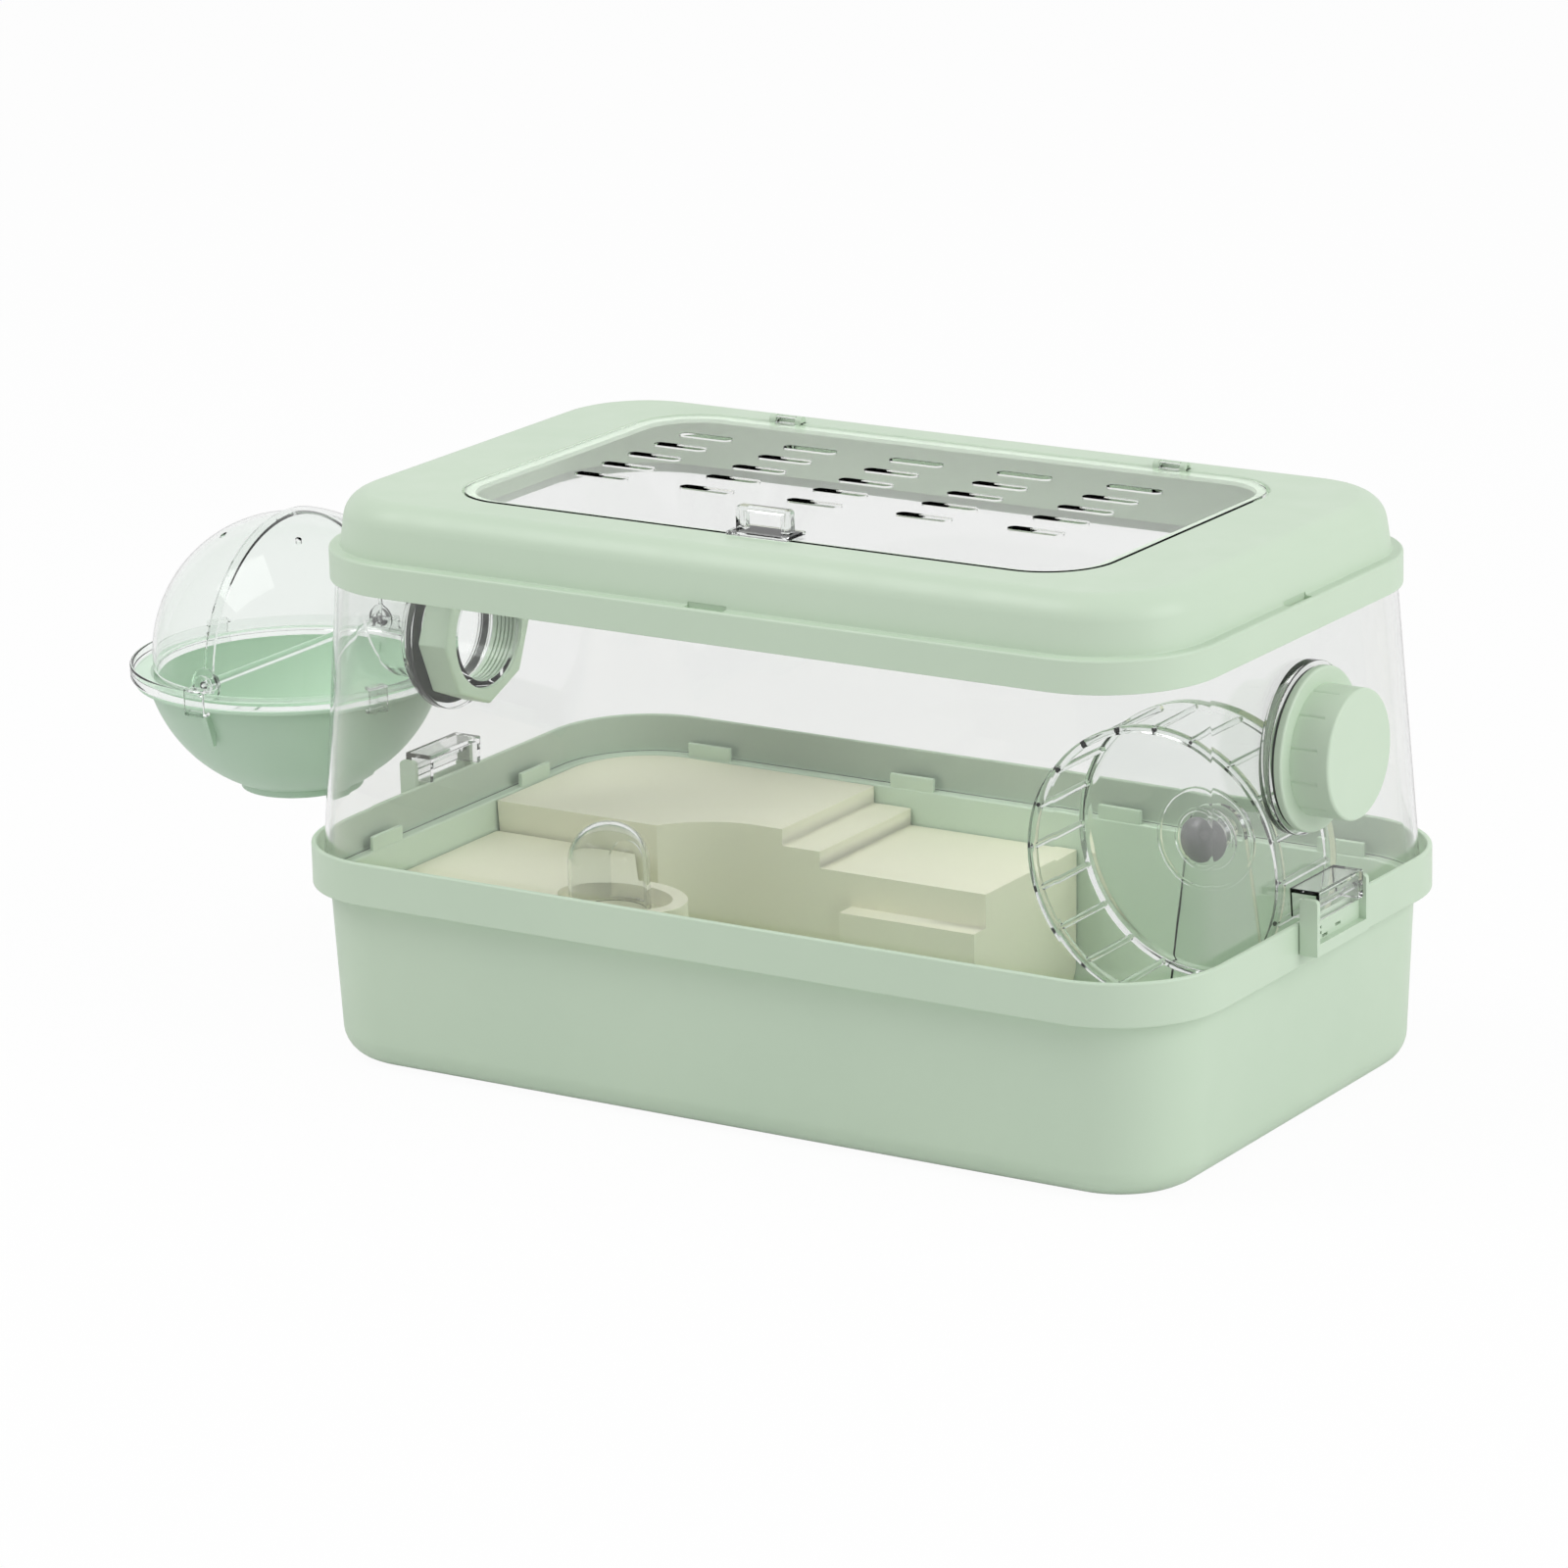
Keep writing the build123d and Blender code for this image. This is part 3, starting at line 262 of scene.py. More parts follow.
def dyed_plastic(name, colour, drift, roughness=(0.36, 0.46), grain=0.00003):
    material, tree, shader, place = new_material(name)
    tone = tree.nodes.new("ShaderNodeMix")
    tone.data_type = "RGBA"
    tone.inputs["A"].default_value = screen_colour(*colour)
    tone.inputs["B"].default_value = screen_colour(*drift)
    tree.links.new(spread(tree, cloud(tree, place, 7.0, 3.0), 0.0, 1.0), tone.inputs["Factor"])
    tree.links.new(tone.outputs["Result"], shader.inputs["Base Color"])
    tree.links.new(spread(tree, cloud(tree, place, 55.0), *roughness), shader.inputs["Roughness"])
    relief(tree, shader, cloud(tree, place, 1900.0), grain, 0.35)
    shader.inputs["IOR"].default_value = 1.5
    return material


mint = dyed_plastic("mint_plastic", (199, 217, 195), (195, 214, 192))
mint_deep = dyed_plastic("mint_plastic_deep", (187, 213, 190), (183, 209, 186))
cream = dyed_plastic("cream_plastic", (232, 232, 209), (228, 229, 205), (0.42, 0.52))
grey = dyed_plastic("grey_plastic", (128, 128, 129), (122, 122, 123), (0.22, 0.3))
white = dyed_plastic("white_plastic", (226, 226, 221), (218, 219, 214), (0.3, 0.4))
rubber = dyed_plastic("black_rubber", (66, 70, 66), (56, 60, 57), (0.6, 0.75), 0.00006)
print("dyed plastics: 6")

# %% [markdown]
# ## Clear plastic and steel
#
# The housing, window, wheel, hood and pod are clear styrene. A see-through mix would be quick, but a
# real wall bends light, darkens at its edges and mirrors the room, so the walls are closed solids and
# the shader is a true transmission. Styrene's index is near 1.5, but at that value light is trapped in
# slots and thin rings and their edges turn black, so the index is lower, and lowest in the window.
# Rays that carry only shadow go straight through, so that the inside of the cage is lit. A slow ripple
# in the surface is the flow of the melt, and a little roughness here and there is handling.

# %% Clear plastic
SHADOW_TONE = (1.0, 1.0, 1.0)


def clear_plastic(name, tone, index, roughness=(0.0, 0.03), ripple=0.00012):
    material, tree, shader, place = new_material(name)
    shader.inputs["Base Color"].default_value = (*tone, 1.0)
    shader.inputs["Transmission Weight"].default_value = 1.0
    shader.inputs["IOR"].default_value = index
    tree.links.new(spread(tree, cloud(tree, place, 30.0), *roughness), shader.inputs["Roughness"])
    relief(tree, shader, cloud(tree, place, 26.0, 0.0), ripple, 0.3)
    path = tree.nodes.new("ShaderNodeLightPath")
    through = tree.nodes.new("ShaderNodeBsdfTransparent")
    through.inputs["Color"].default_value = (*SHADOW_TONE, 1.0)
    chooser = tree.nodes.new("ShaderNodeMixShader")
    tree.links.new(path.outputs["Is Shadow Ray"], chooser.inputs[0])
    tree.links.new(shader.outputs[0], chooser.inputs[1])
    tree.links.new(through.outputs[0], chooser.inputs[2])
    tree.links.new(chooser.outputs[0], tree.nodes["Material Output"].inputs["Surface"])
    return material


clear_wall = clear_plastic("clear_wall_plastic", (0.92, 0.925, 0.92), 1.4)
clear_sheet = clear_plastic("clear_sheet_plastic", (0.90, 0.905, 0.90), 1.15)
clear_small = clear_plastic("clear_small_plastic", (0.925, 0.945, 0.93), 1.25, ripple=0.00006)

# %% Steel
def drawn_steel(name):
    material, tree, shader, place = new_material(name)
    shader.inputs["Base Color"].default_value = (0.55, 0.55, 0.56, 1.0)
    shader.inputs["Metallic"].default_value = 1.0
    stretch = tree.nodes.new("ShaderNodeMapping")
    stretch.inputs["Scale"].default_value = (1.0, 0.02, 1.0)
    tree.links.new(place.outputs["Object"], stretch.inputs["Vector"])
    lines = tree.nodes.new("ShaderNodeTexNoise")
    lines.inputs["Scale"].default_value = 2500.0
    tree.links.new(stretch.outputs["Vector"], lines.inputs["Vector"])
    tree.links.new(spread(tree, lines.outputs["Fac"], 0.2, 0.45), shader.inputs["Roughness"])
    return material


steel = drawn_steel("drawn_steel")
print("clear plastics: 3, steel: 1")

# %% [markdown]
# ## Tools for thin mouldings
#
# Nearly every wall of the cage is a rounded rectangle that changes a little with height. One helper
# sets a circle's points apart into the four corners of such a rectangle, a second bridges one ring to
# the next, and a third rounds a ring's edge with the bevel operator. Sizes are written in millimetres,
# as on a maker's drawing, and a piece is turned into metres once, when it is finished.

# %% Rings, walls and soft edges
MM = 0.001
CORNER_STEPS = 18
RING_POINTS = 4 * (CORNER_STEPS + 1)
ORIGIN = (0.0, 0.0)


def corner_point(section, place, z, centre):
    """The point at one place round a rounded rectangle; section is (half x, half y, corner radius)."""
    half_x, half_y, radius = section
    quarter, step = divmod(place, CORNER_STEPS + 1)
    angle = radians(90 * (quarter + step / CORNER_STEPS))
    side_x = 1 if quarter in (0, 3) else -1
    side_y = 1 if quarter in (0, 1) else -1
    x = centre[0] + side_x * (half_x - radius) + radius * cos(angle)
    y = centre[1] + side_y * (half_y - radius) + radius * sin(angle)
    return Vector((x, y, z))


def first_ring(bm, section, z, centre):
    """A circle whose points are set apart into the corners of the rectangle, in order."""
    made = bmesh.ops.create_circle(bm, radius=1.0, segments=RING_POINTS)["verts"]
    per_turn = RING_POINTS / (2 * pi)
    ordered = sorted(made, key=lambda vert: round(atan2(vert.co.y, vert.co.x) * per_turn) % RING_POINTS)
    for place, vert in enumerate(ordered):
        vert.co = corner_point(section, place, z, centre)
    return ordered


def loop_edges(bm, verts):
    return [bm.edges.get(pair) for pair in zip(verts, verts[1:] + verts[:1])]


def next_ring(bm, verts, section, z, centre):
    """Extrudes a ring's edges and moves the new points to the next section."""
    made = bmesh.ops.extrude_edge_only(bm, edges=loop_edges(bm, verts))["geom"]
    fresh = {item for item in made if isinstance(item, bmesh.types.BMVert)}
    above = []
    for place, vert in enumerate(verts):
        partner = next(e.other_vert(vert) for e in vert.link_edges if e.other_vert(vert) in fresh)
        partner.co = corner_point(section, place, z, centre)
        above.append(partner)
    return above


def wall(bm, levels, closed=False):
    """Raises a wall through levels of (section, z, centre) and returns the edges of every ring."""
    rings = [first_ring(bm, *levels[0])]
    for level in levels[1:]:
        rings.append(next_ring(bm, rings[-1], *level))
    if closed:
        seam = next_ring(bm, rings[-1], *levels[0])
        bmesh.ops.weld_verts(bm, targetmap=dict(zip(seam, rings[0])))
    return [loop_edges(bm, verts) for verts in rings]


def soften(bm, edges, radius, steps=3):
    """Rounds edges with the bevel operator."""
    bmesh.ops.bevel(
        bm, geom=edges, offset=radius, offset_type="OFFSET", segments=steps, profile=0.5,
        affect="EDGES", material=-1, clamp_overlap=True,
    )


def block(bm, x_low, x_high, y_low, y_high, z_low, z_high, radius=0.0, steps=2):
    """A box given by its lowest and highest corners, with all its edges rounded."""
    made = bmesh.ops.create_cube(bm, size=1.0)["verts"]
    size = (x_high - x_low, y_high - y_low, z_high - z_low)
    middle = ((x_low + x_high) / 2, (y_low + y_high) / 2, (z_low + z_high) / 2)
    bmesh.ops.scale(bm, vec=size, verts=made)
    bmesh.ops.translate(bm, vec=middle, verts=made)
    if radius:
        soften(bm, list(dict.fromkeys(edge for vert in made for edge in vert.link_edges)), radius, steps)


# %% Turned parts, prisms, cuts and the finished piece
AXES = {"X": Vector((1, 0, 0)), "Y": Vector((0, 1, 0)), "Z": Vector((0, 0, 1))}
OUTWARD = {"X": AXES["Z"], "Y": AXES["X"], "Z": AXES["X"]}


def turned(bm, axis, centre, profile, steps=96, closed=True):
    """Spins a profile of (distance from the axis, place along it) points through a full turn."""
    centre = Vector(centre)
    verts = [bm.verts.new(centre + OUTWARD[axis] * out + AXES[axis] * along) for out, along in profile]
    edges = [bm.edges.new(pair) for pair in zip(verts, verts[1:])]
    if closed:
        edges.append(bm.edges.new((verts[-1], verts[0])))
    bmesh.ops.spin(
        bm, geom=verts + edges, cent=centre, axis=AXES[axis], angle=2 * pi, steps=steps, use_merge=True
    )
    bmesh.ops.remove_doubles(bm, verts=bm.verts, dist=0.0005)


def arc(centre, radius, start, end, steps):
    """Points on an arc, as (distance, along), between two angles in degrees from the outward line."""
    angles = [radians(start + (end - start) * step / steps) for step in range(steps + 1)]
    return [(centre[0] + radius * cos(a), centre[1] + radius * sin(a)) for a in angles]


def rounded(profile, radii, steps=4):
    """The profile with an arc in place of each corner that radii, {place in the list: radius}, names."""
    points = []
    for index, corner in enumerate(profile):
        radius = radii.get(index, 0.0)
        if not radius:
            points.append(corner)
            continue
        here = Vector(corner)
        back = (Vector(profile[index - 1]) - here).normalized()
        ahead = (Vector(profile[(index + 1) % len(profile)]) - here).normalized()
        half = back.angle(ahead) / 2
        middle = here + (back + ahead).normalized() * radius / sin(half)
        first = here + back * radius / tan(half) - middle
        last = here + ahead * radius / tan(half) - middle
        start = atan2(first.y, first.x)
        sweep = (atan2(last.y, last.x) - start + pi) % (2 * pi) - pi
        for step in range(steps + 1):
            angle = start + sweep * step / steps
            points.append((middle.x + radius * cos(angle), middle.y + radius * sin(angle)))
    return points


def rod(bm, axis, centre, radius, low, high, steps=24):
    """A plain round bar along an axis, used for pins, bores and bars."""
    turned(bm, axis, centre, [(0, low), (radius, low), (radius, high), (0, high)], steps, closed=False)


def prism(bm, points, axis, low, high):
    """A polygon given in the two other axes, extruded along this one."""
    order = {"X": (1, 2), "Y": (0, 2), "Z": (0, 1)}[axis]
    verts = []
    for pair in points:
        co = low * AXES[axis]
        co[order[0]], co[order[1]] = pair
        verts.append(bm.verts.new(co))
    face = bm.faces.new(verts)
    made = bmesh.ops.extrude_face_region(bm, geom=[face])["geom"]
    raised = [item for item in made if isinstance(item, bmesh.types.BMVert)]
    bmesh.ops.translate(bm, vec=AXES[axis] * (high - low), verts=raised)


def shape_object(bm):
    bmesh.ops.recalc_face_normals(bm, faces=bm.faces)
    mesh = bpy.data.meshes.new("shape")
    bm.to_mesh(mesh)
    bm.free()
    shape = bpy.data.objects.new("shape", mesh)
    bpy.context.scene.collection.objects.link(shape)
    return shape


def carve(bm, tool, operation="DIFFERENCE"):
    """Cuts a solid with a tool, or unites them, and returns the result; both inputs are used up."""
    target, cutter = shape_object(bm), shape_object(tool)
    modifier = target.modifiers.new("carve", "BOOLEAN")
    modifier.operation = operation
    modifier.solver = "EXACT"
    modifier.object = cutter
    bpy.context.view_layer.update()
    result = bmesh.new()
    result.from_object(target, bpy.context.evaluated_depsgraph_get())
    for shape in (target, cutter):
        mesh = shape.data
        bpy.data.objects.remove(shape)
        bpy.data.meshes.remove(mesh)
    return result


def cad_copy(node, radius, steps=2, picked=None):
    """A frame solid with its triangles merged to flat faces and its outer edges rounded."""
    bm = bmesh.new()
    bm.from_mesh(frame["nodes"][node].data)
    bmesh.ops.scale(bm, vec=(1 / MM, 1 / MM, 1 / MM), verts=bm.verts)
    bmesh.ops.remove_doubles(bm, verts=bm.verts, dist=0.002)
    bmesh.ops.dissolve_limit(bm, angle_limit=radians(0.6), verts=bm.verts, edges=bm.edges)
    outer = [
        edge
        for edge in bm.edges
        if len(edge.link_faces) == 2
        and edge.calc_face_angle_signed(0) > radians(40)
        and (picked is None or picked(edge))
    ]
    soften(bm, outer, radius, steps)
    return bm


def finish_piece(bm, node, material, sharp=38.0, name=None):
    """Turns a bmesh in millimetres into the piece that stands for a CAD node."""
    bmesh.ops.remove_doubles(bm, verts=bm.verts, dist=0.002)
    bmesh.ops.holes_fill(bm, edges=[edge for edge in bm.edges if edge.is_boundary])
    bmesh.ops.recalc_face_normals(bm, faces=bm.faces)
    bmesh.ops.scale(bm, vec=(MM, MM, MM), verts=bm.verts)
    name = name or "dressed_" + node
    mesh = bpy.data.meshes.new(name)
    bm.to_mesh(mesh)
    bm.free()
    mesh.materials.append(material)
    mesh.shade_smooth()
    mesh.set_sharp_from_angle(angle=radians(sharp))
    made = bpy.data.objects.new(name, mesh)
    bpy.context.scene.collection.objects.link(made)
    flat = made.modifiers.new("even_light", "WEIGHTED_NORMAL")
    flat.keep_sharp = True
    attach(made, body_of[node])
    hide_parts(node)
    print("piece:", name, len(mesh.polygons), "faces")
    return made


# %% [markdown]
# ## Tray
#
# The tray is a deep tub that opens out a little towards the top, with a band round the rim that stands
# proud and holds the housing on a ledge inside. It could be a solid cut hollow. Here the whole section
# is drawn as rings, up the outside, over the rim and down the inside, because each ring is then an edge
# that can be given its own softness, and the wall has an even thickness everywhere.

# %% Tray
TRAY_CORE = (183.5, 90.5)
RIM_BOTTOM = 82.5
RIM_TOP = 102.8
LEDGE_TOP = 85.0
FLOOR_TOP = 2.5
TAB = (24.0, 2.4, 91.5)


def tray_level(radius, z):
    return (TRAY_CORE[0] + radius, TRAY_CORE[1] + radius, radius), z, ORIGIN


tray_section = (
    (39.5, 0.0, 14.0, 8),
    (43.5, RIM_BOTTOM, 0.0, 0),
    (51.5, RIM_BOTTOM, 0.9, 3),
    (51.5, RIM_TOP, 1.2, 3),
    (49.0, RIM_TOP, 1.0, 3),
    (49.0, LEDGE_TOP, 0.8, 2),
    (41.0, LEDGE_TOP, 1.0, 3),
    (37.0, FLOOR_TOP, 11.5, 7),
)
tray = bmesh.new()
tray_rings = wall(tray, [tray_level(radius, z) for radius, z, soft, steps in tray_section])
for edges in (tray_rings[0], tray_rings[-1]):
    bmesh.ops.contextual_create(tray, geom=edges)
for edges, (radius, z, soft, steps) in zip(tray_rings, tray_section):
    if soft:
        soften(tray, edges, soft, steps)

# %% Tabs and catch ridges on the tray
for side in (-1, 1):
    for x in (-172.0, -57.0, 57.0, 172.0):
        near, far = sorted((side * 131.7, side * 134.1))
        block(tray, x - TAB[0] / 2, x + TAB[0] / 2, near, far, LEDGE_TOP - 0.6, TAB[2], 0.6)
    for y in (-61.0, 61.0):
        near, far = sorted((side * 224.7, side * 227.1))
        block(tray, near, far, y - TAB[0] / 2, y + TAB[0] / 2, LEDGE_TOP - 0.6, TAB[2], 0.6)
    near, far = sorted((side * 234.4, side * 236.8))
    block(tray, near, far, -18.0, 18.0, 94.6, 96.4, 0.5)
finish_piece(tray, "tray", mint)

# %% [markdown]
# ## Clear housing
#
# The housing is four clear walls in one moulding. They lean in towards the lid, and their corners are
# round. Each end has a hole with a flat collar, and a small hollow lug for the latch pin. The walls are
# four bridged rings, and the collars and lugs are united with them, because clear plastic shows every
# inner face that a real moulding doesn't have.

# %% Housing walls
HOUSING_LOW = (230.6, 137.6, 48.0)
HOUSING_HIGH = (223.0, 130.0, 51.0)
HOUSING_LOW_Z = 85.2
HOUSING_HIGH_Z = 230.7
HOUSING_WALL = 1.8
PORT_Z = 175.5
PORT_BORE = 27.2


def thinner(section, by):
    return tuple(value - by for value in section)


housing = bmesh.new()
housing_levels = (
    (HOUSING_LOW, HOUSING_LOW_Z, ORIGIN),
    (HOUSING_HIGH, HOUSING_HIGH_Z, ORIGIN),
    (thinner(HOUSING_HIGH, HOUSING_WALL), HOUSING_HIGH_Z, ORIGIN),
    (thinner(HOUSING_LOW, HOUSING_WALL), HOUSING_LOW_Z, ORIGIN),
)
for edges in wall(housing, housing_levels, closed=True):
    soften(housing, edges, 0.35, 2)

# %% Collars, ports and latch lugs
LUG = (20.4, 104.2, 117.2, 243.4, 2.4)


def latch_lug(side):
    """A hollow block, open below, with a hole for the latch pin."""
    half, bottom, top, outer, thick = LUG
    lug = bmesh.new()
    near, far = sorted((side * 226.4, side * outer))
    block(lug, near, far, -half, half, bottom, top, 0.5)
    hollow = bmesh.new()
    near, far = sorted((side * 220.0, side * (outer - thick)))
    block(hollow, near, far, thick - half, half - thick, bottom - 5, top - thick)
    lug = carve(lug, hollow)
    bore = bmesh.new()
    rod(bore, "Y", (side * 239.0, 0, 110.0), 1.45, -half - 2, half + 2)
    return carve(lug, bore)


inside = bmesh.new()
for edges in wall(inside, (housing_levels[3], housing_levels[2])):
    bmesh.ops.contextual_create(inside, geom=edges)
for side in (-1, 1):
    housing = carve(housing, carve(latch_lug(side), inside.copy()), "UNION")
    collar = bmesh.new()
    near, far = sorted((side * 222.5, side * 228.5))
    disc = rounded([(0, near), (38.6, near), (38.6, far), (0, far)], {1: 0.6, 2: 0.6})
    turned(collar, "X", (0, 0, PORT_Z), disc, closed=False)
    housing = carve(housing, collar, "UNION")
    bore = bmesh.new()
    rod(bore, "X", (0, 0, PORT_Z), PORT_BORE, near - 6, far + 6, 96)
    housing = carve(housing, bore)
inside.free()
finish_piece(housing, "clear_housing", clear_wall)

# %% [markdown]
# ## Lid
#
# The lid is a shallow tray turned over: a band that slips over the housing, a raised body with a large
# soft shoulder, and a window opening with a step for the clear panel. It is drawn as one closed section
# again, outside, opening and inside, and only the opening's rings have another centre.

# %% Lid shell
OPENING_CENTRE = (0.0, 3.0)
lid_section = (
    ((223.6, 130.6, 51.0), 225.6, 0.5, 2, (0, 0)),
    ((225.8, 132.8, 53.5), 225.6, 0.6, 2, (0, 0)),
    ((225.8, 132.8, 53.5), 240.8, 1.2, 3, (0, 0)),
    ((220.7, 127.7, 48.7), 240.8, 0.9, 2, (0, 0)),
    ((217.0, 124.0, 45.0), 265.7, 11.0, 8, (0, 0)),
    ((167.0, 97.6, 32.0), 265.7, 0.8, 3, OPENING_CENTRE),
    ((167.0, 97.6, 32.0), 263.5, 0.0, 0, OPENING_CENTRE),
    ((161.0, 91.6, 26.0), 263.5, 0.4, 2, OPENING_CENTRE),
    ((161.0, 91.6, 26.0), 261.2, 0.4, 2, OPENING_CENTRE),
    ((173.0, 103.6, 38.0), 261.2, 0.4, 2, OPENING_CENTRE),
    ((173.0, 103.6, 38.0), 263.2, 0.0, 0, OPENING_CENTRE),
    ((214.5, 121.5, 42.5), 263.2, 8.5, 5, (0, 0)),
    ((218.4, 125.4, 46.4), 231.0, 0.4, 2, (0, 0)),
    ((223.6, 130.6, 51.0), 231.0, 0.0, 0, (0, 0)),
)
lid = bmesh.new()
lid_rings = wall(lid, [(section, z, centre) for section, z, soft, steps, centre in lid_section], closed=True)
for edges, (section, z, soft, steps, centre) in zip(lid_rings, lid_section):
    if soft:
        soften(lid, edges, soft, steps)

# %% Snap notches and hinge ears on the lid
HINGE_X = 103.0
HINGE_Y = 101.6
HINGE_Z = 266.4

notches = bmesh.new()
for side in (-1, 1):
    near, far = sorted((side * 127.2, side * 131.0))
    block(notches, -10, 10, near, far, 239.2, 242.4)
    near, far = sorted((side * 220.2, side * 224.0))
    block(notches, near, far, -10, 10, 239.2, 242.4)
    block(notches, side * HINGE_X - 5.5, side * HINGE_X + 5.5, 97.0, 104.6, 260.0, 270.0)
lid = carve(lid, notches)
for x in (-HINGE_X, HINGE_X):
    for side in (-1, 1):
        low, high = sorted((x + side * 5.5, x + side * 8.5))
        block(lid, low, high, HINGE_Y - 2.6, HINGE_Y + 2.6, 263.4, HINGE_Z, 0.3)
        rod(lid, "X", (0, HINGE_Y, HINGE_Z), 2.6, low, high)
finish_piece(lid, "lid_frame", mint)

# %% [markdown]
# ## Flip window
#
# The window is a flat clear panel with five rows of five air slots, two hinge barrels at the back and a
# small clear handle at the front. The slots could be a pattern that hides part of the surface, but real
# holes catch the light on their walls, and that is what the picture shows as pairs of fine lines. They
# are cut in one go, and then each rim is softened.

# %% Window panel
PANEL = (166.2, 96.2, 31.2)
PANEL_CENTRE = (0.0, 2.4)
PANEL_BOTTOM = 263.7
PANEL_TOP = 265.9
SLOT = (28.0, 6.0)
SLOT_PITCH = (57.2, 21.8)
SLOT_CENTRE = (-6.0, 14.5)
SLOT_STEPS = 8


def slot_outline(x, y):
    """A slot's outline: two half circles joined by straight sides."""
    length, width = SLOT
    points = []
    for end, start in ((1, -90), (-1, 90)):
        centre_x = x + end * (length - width) / 2
        for step in range(SLOT_STEPS + 1):
            angle = radians(start + 180 * step / SLOT_STEPS)
            points.append((centre_x + width / 2 * cos(angle), y + width / 2 * sin(angle)))
    return points


panel = bmesh.new()
panel_rings = wall(panel, [(PANEL, z, PANEL_CENTRE) for z in (PANEL_BOTTOM, PANEL_TOP)])
for edges in panel_rings:
    bmesh.ops.contextual_create(panel, geom=edges)
for edges in panel_rings:
    soften(panel, edges, 0.4, 2)
slots = bmesh.new()
for row in range(-2, 3):
    for column in range(-2, 3):
        x = SLOT_CENTRE[0] + column * SLOT_PITCH[0]
        y = SLOT_CENTRE[1] + row * SLOT_PITCH[1]
        prism(slots, slot_outline(x, y), "Z", PANEL_BOTTOM - 1, PANEL_TOP + 1)
panel = carve(panel, slots)
slot_rims = [
    edge
    for edge in panel.edges
    if abs(edge.verts[0].co.x) < 160
    and abs(edge.verts[0].co.y - PANEL_CENTRE[1]) < 80
    and abs(edge.verts[0].co.z - edge.verts[1].co.z) < 0.01
    and len(edge.link_faces) == 2
    and edge.calc_face_angle(0) > radians(60)
]
soften(panel, slot_rims, 0.35, 2)
print("slot rim edges:", len(slot_rims))

# %% Hinge barrels on the panel
for x in (-HINGE_X, HINGE_X):
    barrel = bmesh.new()
    rod(barrel, "X", (0, HINGE_Y, HINGE_Z), 2.4, x - 5, x + 5)
    panel = carve(panel, barrel, "UNION")
    tongue = bmesh.new()
    block(tongue, x - 5, x + 5, 96.6, HINGE_Y, PANEL_TOP - 1.6, PANEL_TOP - 0.01)
    panel = carve(panel, tongue, "UNION")
    bore = bmesh.new()
    rod(bore, "X", (0, HINGE_Y, HINGE_Z), 1.27, x - 8, x + 8)
    panel = carve(panel, bore)
finish_piece(panel, "window_panel", clear_sheet)

# %% Handle
handle = cad_copy("window_handle", 0.6)
finish_piece(handle, "window_handle", clear_small)

# %% [markdown]
# ## Latches
#
# Each latch is a mint lever on a pin in the housing's lug. Its bar hooks under a ridge on the tray, and
# a thin panel between its posts has four short slots. The lever's form is already right in the frame,
# so a merged copy of it is used, and only its outer edges are rounded as a mould would leave them.

# %% Latch levers
for node in ("latch_lever_right", "latch_lever_left"):
    finish_piece(cad_copy(node, 0.45), node, mint)

# %% [markdown]
# ## Platforms
#
# The two cream platforms are hollow mouldings with vertical walls and flat tops, stepped like stairs,
# with a round bay cut into the upper one. Their edges are visibly soft. The frame's solids have the
# right outline, so the merged copies are bevelled along their top edges and upright corners.

# %% Platforms
def on_top_or_corner(edge):
    """True for an edge that borders a deck, or that stands upright between two walls."""
    along = (edge.verts[1].co - edge.verts[0].co).normalized()
    decks = [face for face in edge.link_faces if face.normal.z > 0.95]
    return edge.verts[0].co.z > 10 and (bool(decks) or abs(along.z) > 0.9)


finish_piece(cad_copy("platform_upper", 0.9, 3, on_top_or_corner), "platform_upper", cream)
finish_piece(cad_copy("platform_front", 0.9, 3, on_top_or_corner), "platform_front", cream)

# %% [markdown]
# ## Feeder hood
#
# A small clear dome stands in the food trough, with an arched doorway at the back. Half of its section
# is drawn and spun, and the doorway is cut with a prism whose top is a half circle.

# %% Feeder hood
HOOD = (-116.0, -39.0)
HOOD_RADIUS = 19.0
HOOD_WALL = 1.6
HOOD_BOTTOM = 62.2
HOOD_SHOULDER = HOOD_BOTTOM + 24.0
DOOR_HALF = 10.0
DOOR_ARCH = HOOD_BOTTOM + 20.0

hood = bmesh.new()
inner = HOOD_RADIUS - HOOD_WALL
hood_profile = [(inner, HOOD_BOTTOM), (HOOD_RADIUS, HOOD_BOTTOM)]
hood_profile += arc((0, HOOD_SHOULDER), HOOD_RADIUS, 0, 90, 16)
hood_profile += arc((0, HOOD_SHOULDER), inner, 90, 0, 16)
turned(hood, "Z", (*HOOD, 0), hood_profile, 64)
doorway = bmesh.new()
arch = [(HOOD[0] - DOOR_HALF, HOOD_BOTTOM + 2), (HOOD[0] + DOOR_HALF, HOOD_BOTTOM + 2)]
arch += arc((HOOD[0], DOOR_ARCH), DOOR_HALF, 0, 180, 16)
prism(doorway, arch, "Y", HOOD[1], HOOD[1] + 30)
hood = carve(hood, doorway)
finish_piece(hood, "feeder_hood", clear_small)

# %% [markdown]
# ## Running wheel
#
# The wheel is one clear moulding: a front ring, a back disc with two stiffening rings and a boss, and
# twenty bars between them. The round parts are spun sections, the bars are thin rods set round the axis
# by a loop, and all of it is united, so that no bar shows its end inside the plastic.

# %% Wheel drum
WHEEL = (161.0, 0.0, 118.0)
WHEEL_RADIUS = 63.5
WHEEL_BAND = 3.4
WHEEL_FRONT = (-22.0, -17.0)
DISC = (27.6, 30.0)
BARS = 20
BAR_RADIUS = 1.5

